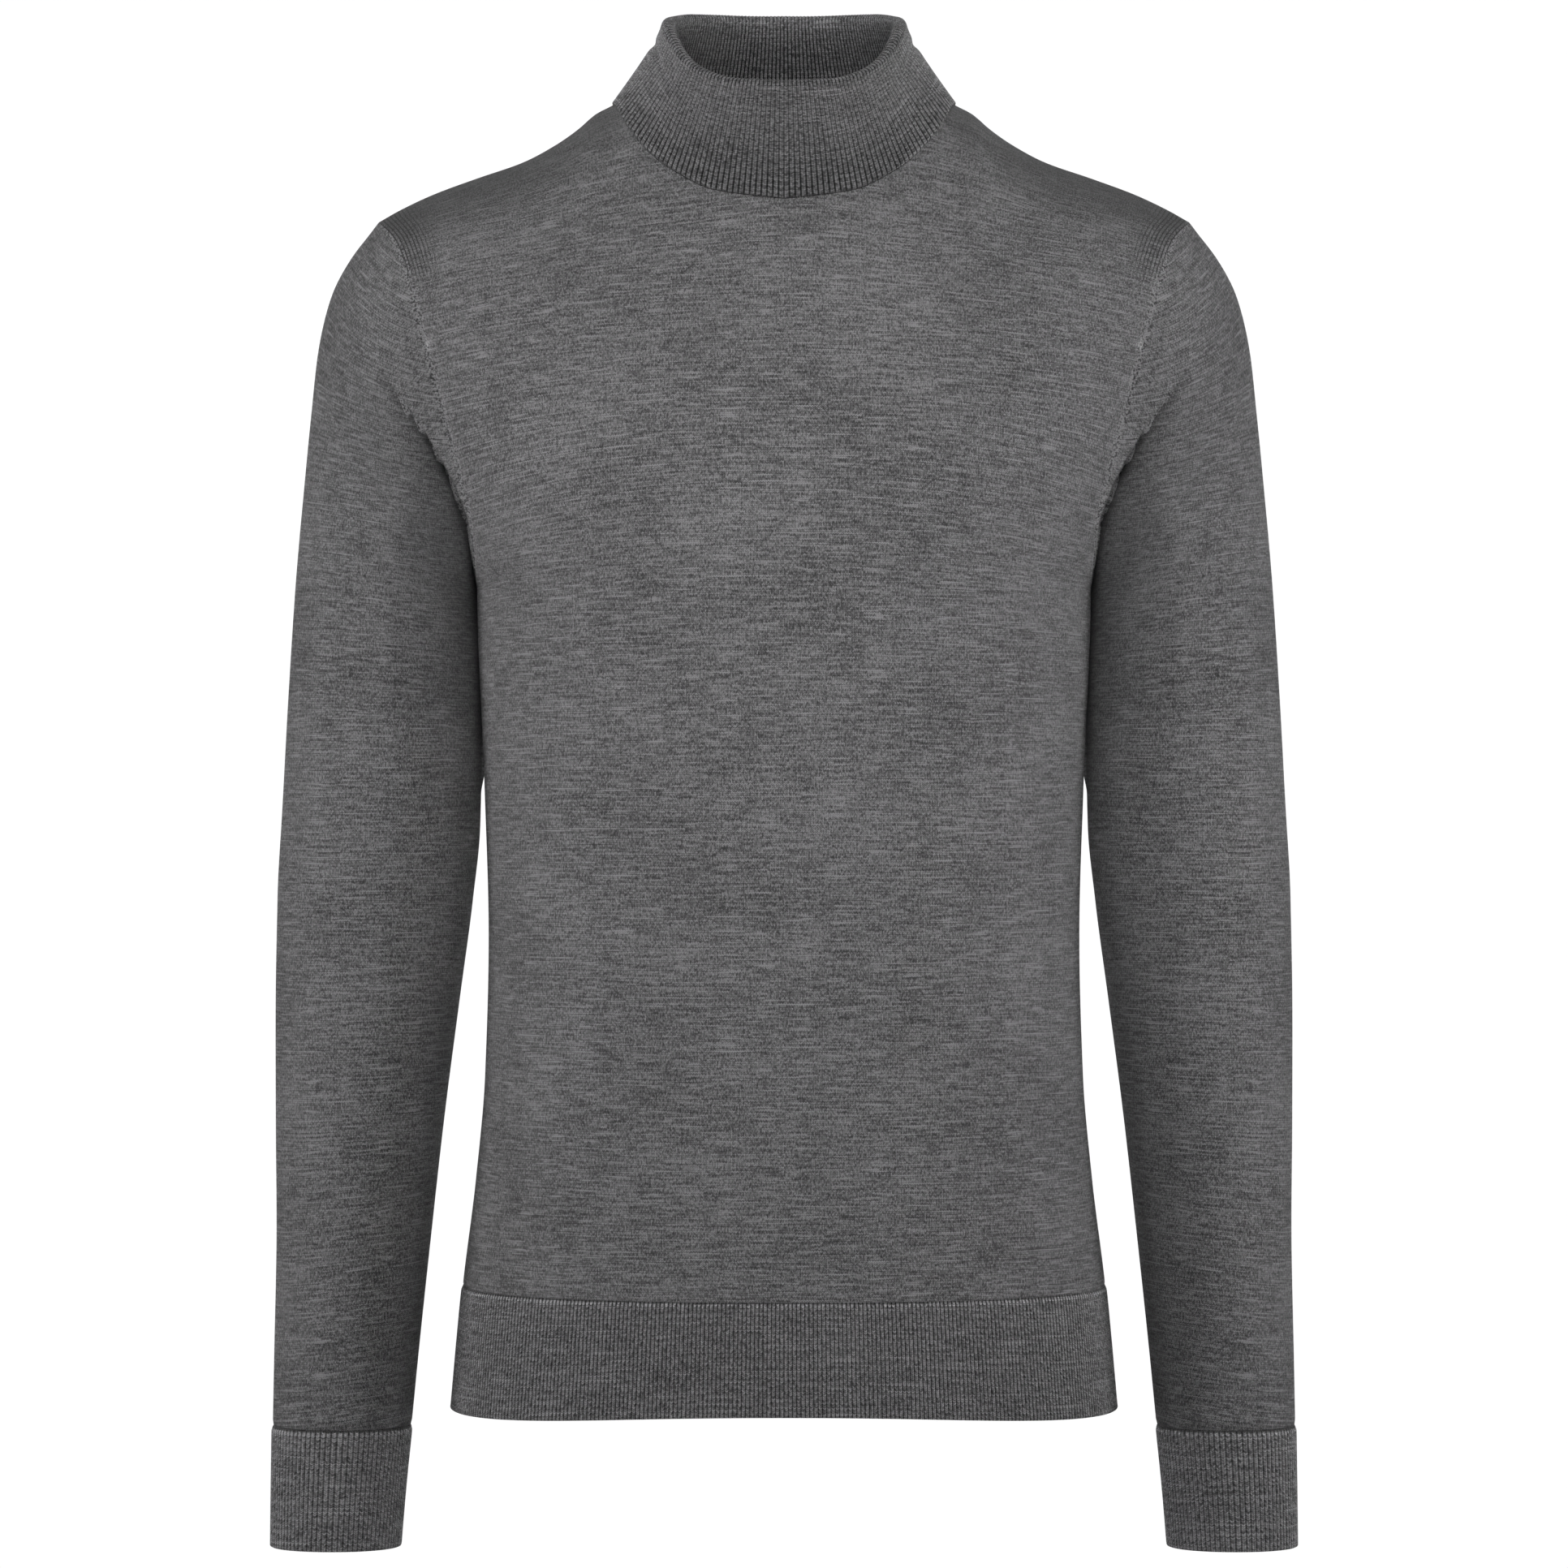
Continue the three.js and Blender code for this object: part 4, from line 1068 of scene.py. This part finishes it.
def collar(name):
    columns = COLLAR_RIBS * RIB_COLUMNS
    at = 0.5 + np.arange(columns) / columns
    rows = list(collar_rows(at))[::-1]
    points, relief, painted_light_and_knot, painted_groove_shade = [np.array(values) for values in zip(*rows)]
    relief = relief[:, None] * rib_profile(columns)
    tip = collar_layer(at, 1.0)
    onward = unit(tip - collar_layer(at, TIP_FALL))
    half = HALF_RIB_CLOTH - SIDE_THINNING * np.sin(2 * np.pi * at) ** 6
    end = rounded_end(tip, layer_normal(at, 1.0), onward, relief[0], half)
    outer = np.vstack([end, points + grid_normals(points, True) * relief[..., None]])
    painted_light_and_knot, painted_groove_shade = [
        np.vstack([values[:1]] * len(end) + [values]) for values in (painted_light_and_knot, painted_groove_shade)
    ]

    every = slice(0, None, RIB_COLUMNS * 2)
    inner = np.array(list(collar_inner_rows(at)))[::-1][:, every]
    length = run_length(outer[:, :1], 0)
    rib = np.arange(columns + 1) / RIB_COLUMNS
    uv = np.dstack(np.broadcast_arrays(rib[None, :], length / COURSE))
    inner_rib = np.append(rib[:-1][every], rib[-1])
    inner_height = np.linspace(0, length[-1, 0], len(inner))[:, None] / COURSE
    inner_uv = np.dstack(np.broadcast_arrays(inner_rib[None, :], inner_height))
    to_seam = np.broadcast_to(length[-1] - length, outer.shape[:2])
    return cloth(name, (outer, uv), (inner, inner_uv), True, {
        "to_seam": to_seam, "painted_light_and_knot": painted_light_and_knot, "painted_groove_shade": painted_groove_shade,
    })


# Materials

# A stitch: how far its legs rise, and the weights of its beads on the legs, of all beads and of the legs
STITCH_LEG_RISE = 0.62
STITCH_WEIGHTS = (0.55, 0.2, 0.25)
RIB_STITCH_SHARE = 0.78
FUZZ = 0.3
STITCH_DEPTH = 0.3 * MM

# Factor and offset that turn a stitch's height into painted shade, darker where the yarn lies deeper, and
# where the yarn's three greys lie
DEPTH_SHADE = {"jersey": (0.7, 0.58), "rib": (0.95, 0.44)}
GREY_STOPS = (0.34, 0.5, 0.66)

# Painted shade in the grooves between ribs, and in the gaps between wales that open beside the shoulder
# points
RIB_GROOVE_SHADE = 0.72
GROOVE_POWER = 2.5
OPEN_WALE = 2.0
OPEN_WALE_SHADE = 0.85

# Beside the armhole: jumbled stitches and fashioning marks
JUMBLE_END = 3.4
JUMBLE_FULL = 0.8
JUMBLE_SCALE = 900.0
JUMBLE_MIDDLE = 0.47
JUMBLE_WEIGHT = 1.7
MARK_DISTANCE = 9.0
MARK_HALF_WIDTH = 0.8
MARK_COURSES = 6.0
MARK_FROM = 0.55
MARK_WEIGHT = -0.07

# The dark line and the row of pale beads where a rib is linked on: distance and half width, then weight
LINK_LINE = (0.35, 0.5)
LINK_LINE_WEIGHT = -0.5
LINK_BEADS = (1.6, 0.8)
LINK_BEAD_SIZE = 0.8
LINK_BEADS_WEIGHT = 1.1

# Streaks: how often they change along a wale and up a course, a seed, and finer detail
STREAKS = [
    (0.065, 1.1, 0.0, 1.0), (0.19, 1.2, 5.0, 1.0), (0.03, 0.3, 9.0, 1.0), (1.5, 1.25, 14.0, 0.0),
    (0.015, 0.02, 2.0, 1.0),
]
STREAK_WEIGHTS = {"jersey": (0.4, 0.28, 0.1, 0.36, 0.12), "rib": (0.18, 0.18, 0.08, 0.4, 0.08)}
FLECK_WEIGHT = 0.2
PALE_STREAK = (0.07, 1.05, 21.0, 0.0)
PALE_STREAK_FROM = 0.66
PALE_STREAK_WEIGHT = 2.2


class Nodes:
    """Builds a material's nodes."""

    def __init__(self, name):
        self.material = bpy.data.materials.new(name)
        self.material.use_nodes = True
        self.tree = self.material.node_tree
        self.tree.nodes.clear()

    def add(self, kind, **settings):
        node = self.tree.nodes.new(kind)
        for key, value in settings.items():
            setattr(node, key, value)
        return node

    def link(self, source, target):
        self.tree.links.new(source, target)

    def put(self, socket, value):
        if isinstance(value, bpy.types.NodeSocket):
            self.link(value, socket)
        else:
            socket.default_value = value

    def math(self, operation, *values):
        node = self.add("ShaderNodeMath", operation=operation)
        for socket, value in zip(node.inputs, values):
            self.put(socket, value)
        return node.outputs[0]

    def times(self, value, factor):
        return self.math("MULTIPLY", value, factor)

    def attribute(self, name):
        return self.add("ShaderNodeAttribute", attribute_name=name).outputs["Fac"]

    def vector(self, x, y, z=0.0):
        node = self.add("ShaderNodeCombineXYZ")
        for socket, value in zip(node.inputs, (x, y, z)):
            self.put(socket, value)
        return node.outputs[0]

    def noise(self, vector, scale=1.0, detail=2.0, roughness=0.5):
        node = self.add("ShaderNodeTexNoise")
        self.put(node.inputs["Vector"], vector)
        node.inputs["Scale"].default_value = scale
        node.inputs["Detail"].default_value = detail
        node.inputs["Roughness"].default_value = roughness
        return node.outputs["Fac"]

    def random(self, vector):
        node = self.add("ShaderNodeTexWhiteNoise")
        self.put(node.inputs["Vector"], vector)
        return node.outputs["Value"]

    def ramp(self, factor, stops):
        node = self.add("ShaderNodeValToRGB")
        self.put(node.inputs["Fac"], factor)
        elements = node.color_ramp.elements
        while len(elements) < len(stops):
            elements.new(0.5)
        for element, (place, colour) in zip(elements, stops):
            element.position = place
            element.color = (*colour, 1)
        return node.outputs["Color"]

    def weighted(self, *pairs):
        """The sum of values times their weights."""
        total = 0.0
        for value, weight in pairs:
            total = self.math("MULTIPLY_ADD", value, weight, total)
        return total


def grey(value):
    """A wool grey a touch cool in the dark and neutral in the light."""
    return (value * 0.995, value * 0.985, value * 1.005)


def knit(name, dark, middle, light, sheen):
    """Heather jersey, or one-by-one rib: streaked softly along the courses, and every stitch a V."""
    n = Nodes(name)
    ribbed = name == "rib"
    stitches = n.add("ShaderNodeUVMap", uv_map="stitches").outputs["UV"]
    split = n.add("ShaderNodeSeparateXYZ")
    n.link(stitches, split.inputs[0])
    wale, course = split.outputs["X"], split.outputs["Y"]

    # A stitch is a V of two legs. Across a wale, aside runs from 0 at its middle to 1 at its edge
    centred = n.math("SUBTRACT", n.times(n.math("FRACT", wale), 2.0), 1.0)
    aside = off_middle = n.math("ABSOLUTE", centred)
    if ribbed:
        aside = n.math("MINIMUM", n.math("DIVIDE", off_middle, RIB_STITCH_SHARE), 1.0)
    yarn = n.math("SUBTRACT", course, n.times(aside, STITCH_LEG_RISE))
    leg = n.math("SINE", n.times(aside, math.pi))
    bead = n.math("SINE", n.times(n.math("FRACT", yarn), math.pi))
    height = n.weighted(*zip((n.times(leg, bead), bead, leg), STITCH_WEIGHTS))

    # The yarn's shade wanders along each course, in long and short streaks with soft ends
    def streak(along, up, seed, detail):
        return n.noise(n.vector(n.times(wale, along), n.times(yarn, up), seed), detail=detail)

    weights = STREAK_WEIGHTS[name]
    streaks = n.weighted(*zip([streak(*row) for row in STREAKS], weights))
    shade = n.math("SUBTRACT", streaks, (sum(weights) - 1) / 2)
    pale = n.math("MAXIMUM", n.math("SUBTRACT", streak(*PALE_STREAK), PALE_STREAK_FROM), 0.0)
    shade = n.math("MULTIPLY_ADD", pale, PALE_STREAK_WEIGHT, shade)
    fleck = n.random(n.vector(n.math("FLOOR", n.times(wale, 2.0)), n.math("FLOOR", yarn)))
    shade = n.math("MULTIPLY_ADD", n.math("SUBTRACT", fleck, 0.5), FLECK_WEIGHT, shade)

    if ribbed:
        # Painted shade in the grooves between the ribs, and the row that links them on
        groove = n.math("POWER", off_middle, GROOVE_POWER)
        gap_shade = n.times(n.times(groove, n.attribute("painted_groove_shade")), -RIB_GROOVE_SHADE)
        to_seam = n.attribute("to_seam")
        line = n.math("COMPARE", to_seam, *LINK_LINE)
        beads = n.times(
            n.math("COMPARE", to_seam, *LINK_BEADS), n.math("SUBTRACT", LINK_BEAD_SIZE, off_middle)
        )
        linked = n.weighted((line, LINK_LINE_WEIGHT), (beads, LINK_BEADS_WEIGHT))
    else:
        # Sewn-in stitches are jumbled along the armhole, with a row of fashioning marks beside it
        to_armhole = n.attribute("to_armhole")
        at_seam = n.add("ShaderNodeMapRange", interpolation_type="SMOOTHSTEP")
        n.link(to_armhole, at_seam.inputs["Value"])
        at_seam.inputs["From Min"].default_value = JUMBLE_END
        at_seam.inputs["From Max"].default_value = JUMBLE_FULL
        jumble = n.noise(n.add("ShaderNodeTexCoord").outputs["Object"], scale=JUMBLE_SCALE, detail=1.0)
        off = n.math("SUBTRACT", jumble, JUMBLE_MIDDLE)
        shade = n.math("MULTIPLY_ADD", n.times(off, at_seam.outputs[0]), JUMBLE_WEIGHT, shade)
        beside = n.math("COMPARE", to_armhole, MARK_DISTANCE, MARK_HALF_WIDTH)
        wave = n.math("SINE", n.times(course, 2 * math.pi / MARK_COURSES))
        marks = n.times(beside, n.math("GREATER_THAN", wave, MARK_FROM))
        shade = n.math("MULTIPLY_ADD", marks, MARK_WEIGHT, shade)
        # Painted shade in the gaps between the wales that open beside the shoulder points
        between = n.math("MAXIMUM", n.math("SINE", n.times(to_armhole, 2 * math.pi / OPEN_WALE)), 0.0)
        gap_shade = n.times(n.times(between, n.attribute("painted_wale_shade")), -OPEN_WALE_SHADE)
        linked = 0.0

    colour = n.ramp(shade, list(zip(GREY_STOPS, (grey(dark), grey(middle), grey(light)))))
    # The yarn is painted darker where a stitch lies deeper, and takes the piece's painted light and shade,
    # its painted groove or wale shade and its link row
    painted_light_and_marks = n.math("MULTIPLY_ADD", height, *DEPTH_SHADE[name])
    for change in (n.attribute("painted_light_and_knot"), gap_shade, linked):
        painted_light_and_marks = n.times(painted_light_and_marks, n.math("ADD", change, 1.0))
    mix = n.add("ShaderNodeMix", data_type="RGBA", blend_type="MULTIPLY")
    mix.inputs["Factor"].default_value = 1.0
    n.link(colour, mix.inputs[6])
    tone = n.add("ShaderNodeCombineColor")
    for socket in tone.inputs:
        n.link(painted_light_and_marks, socket)
    n.link(tone.outputs[0], mix.inputs[7])

    fuzz = n.noise(stitches, scale=3.0, detail=3.0)
    bump = n.add("ShaderNodeBump")
    bump.inputs["Strength"].default_value = 1.0
    bump.inputs["Distance"].default_value = STITCH_DEPTH
    n.link(n.weighted((height, 1.0), (fuzz, FUZZ)), bump.inputs["Height"])
    shader = n.add("ShaderNodeBsdfPrincipled")
    shader.inputs["Roughness"].default_value = 0.92
    shader.inputs["Specular IOR Level"].default_value = 0.2
    shader.inputs["Sheen Weight"].default_value = sheen
    shader.inputs["Sheen Roughness"].default_value = 0.45
    n.link(mix.outputs[2], shader.inputs["Base Color"])
    n.link(bump.outputs["Normal"], shader.inputs["Normal"])
    output = n.add("ShaderNodeOutputMaterial")
    n.link(shader.outputs[0], output.inputs["Surface"])
    return n.material


# Pieces

materials = {
    "knit_body": knit("jersey", 0.055, 0.16, 0.3, 0.15),
    "knit_rib": knit("rib", 0.07, 0.2, 0.36, 0.15),
}

# Each piece with its slot and cut: flat width and length and flat area in metres, how it is held and which
# pieces carry it. Tubes are given all round
SHOULDERS = ["collar_cloth"]
BODY = ["front_panel_cloth", "back_panel_cloth"]
pieces = [
    (panel("front_panel", FRONT), "knit_body", (0.456, 0.68), 0.258, "hung", SHOULDERS),
    (panel("back_panel", BACK), "knit_body", (0.456, 0.7), 0.264, "hung", SHOULDERS),
    (hem("hem_rib_front", FRONT), "knit_rib", (0.458, 0.063), None, "hung", BODY[:1]),
    (hem("hem_rib_back", BACK), "knit_rib", (0.458, 0.063), None, "hung", BODY[1:]),
    (sleeve("sleeve_left", False), "knit_body", (0.52, 0.63), 0.162, "hung", BODY),
    (sleeve("sleeve_right", True), "knit_body", (0.52, 0.63), 0.162, "hung", BODY),
    (cuff("cuff_left", False), "knit_rib", (0.213, 0.062), None, "hung", ["sleeve_left_cloth"]),
    (cuff("cuff_right", True), "knit_rib", (0.213, 0.062), None, "hung", ["sleeve_right_cloth"]),
    (collar("collar"), "knit_rib", (0.43, 0.108), None, "folded", BODY),
]
for piece, slot, flat, area, held, carried_by in pieces:
    piece.data.materials.append(materials[slot])
    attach(piece, "root")
    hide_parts(piece.name.removesuffix("_cloth"))
    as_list(carried_by)


# Studio

def studio():
    """A pale floor that runs up in a wide cove to a wall and a ceiling all round."""
    floor_z, wall, cove, top = -1.45, 5.0, 1.0, 4.0
    profile = [(0.0, floor_z), (wall - cove, floor_z)]
    for degrees in range(10, 91, 10):
        turn = math.radians(degrees)
        profile.append((wall - cove * (1 - math.sin(turn)), floor_z + cove * (1 - math.cos(turn))))
    profile += [(wall, top), (0.0, top + 1)]
    sides = 64
    turns = np.linspace(0, 2 * math.pi, sides + 1)[:-1]
    places = [(r * math.cos(t), r * math.sin(t), z) for r, z in profile for t in turns]
    faces = []
    for k in range(len(profile) - 1):
        low, high = sides * k, sides * (k + 1)
        for i in range(sides):
            j = (i + 1) % sides
            faces.append((low + i, high + i, high + j, low + j))
    mesh = bpy.data.meshes.new("studio")
    mesh.from_pydata(places, [], faces)
    room = bpy.data.objects.new("studio", mesh)
    bpy.context.scene.collection.objects.link(room)
    n = Nodes("studio_white")
    glow = n.add("ShaderNodeEmission")
    glow.inputs["Strength"].default_value = 1.02
    output = n.add("ShaderNodeOutputMaterial")
    n.link(glow.outputs[0], output.inputs["Surface"])
    mesh.materials.append(n.material)
    room.visible_diffuse = room.visible_glossy = room.visible_shadow = False
    room.visible_transmission = False


def soft_box(name, place, target, size, power, spread=180):
    light = bpy.data.lights.new(name, "AREA")
    light.spread = math.radians(spread)
    light.shape = "RECTANGLE"
    light.size, light.size_y = size
    light.energy = power
    box = bpy.data.objects.new(name, light)
    box.location = place
    box.rotation_euler = (Vector(target) - Vector(place)).to_track_quat("-Z", "Y").to_euler()
    bpy.context.scene.collection.objects.link(box)


studio()
for way, name in ((-1, "left"), (1, "right")):
    soft_box(f"{name}_wide", (2.4 * way, -1.7, -0.25), (0, 0, -0.25), (1.4, 2.0), 9.0)
    soft_box(f"{name}_edge", (2.6 * way, -0.6, -0.3), (0, 0, -0.12), (0.8, 1.6), 29)
    soft_box(f"{name}_low", (1.6 * way, -2.0, -1.3), (0, 0, -0.12), (0.8, 0.8), 0.6)
    soft_box(f"{name}_back", (1.0 * way, 3.4, 0.2), (0, 0, -0.35), (1.4, 2.0), 42)
soft_box("chest_box", (0, -3.4, 0.3), (0, 0, -0.08), (1.0, 1.0), 3.6, 34)

world = bpy.data.worlds.new("studio_air")
bpy.context.scene.world = world
world.use_nodes = True
world.node_tree.nodes["Background"].inputs["Color"].default_value = (1, 1, 1, 1)
world.node_tree.nodes["Background"].inputs["Strength"].default_value = 0.02
bpy.context.scene.view_settings.view_transform = "Standard"

camera_data = bpy.data.cameras.new("camera")
camera_data.lens = 133.1
camera_data.sensor_width = 36
camera = bpy.data.objects.new("camera", camera_data)
camera.location = (0, -3.0, -0.351)
camera.rotation_euler = (math.pi / 2, 0, 0)
bpy.context.scene.collection.objects.link(camera)
bpy.context.scene.camera = camera
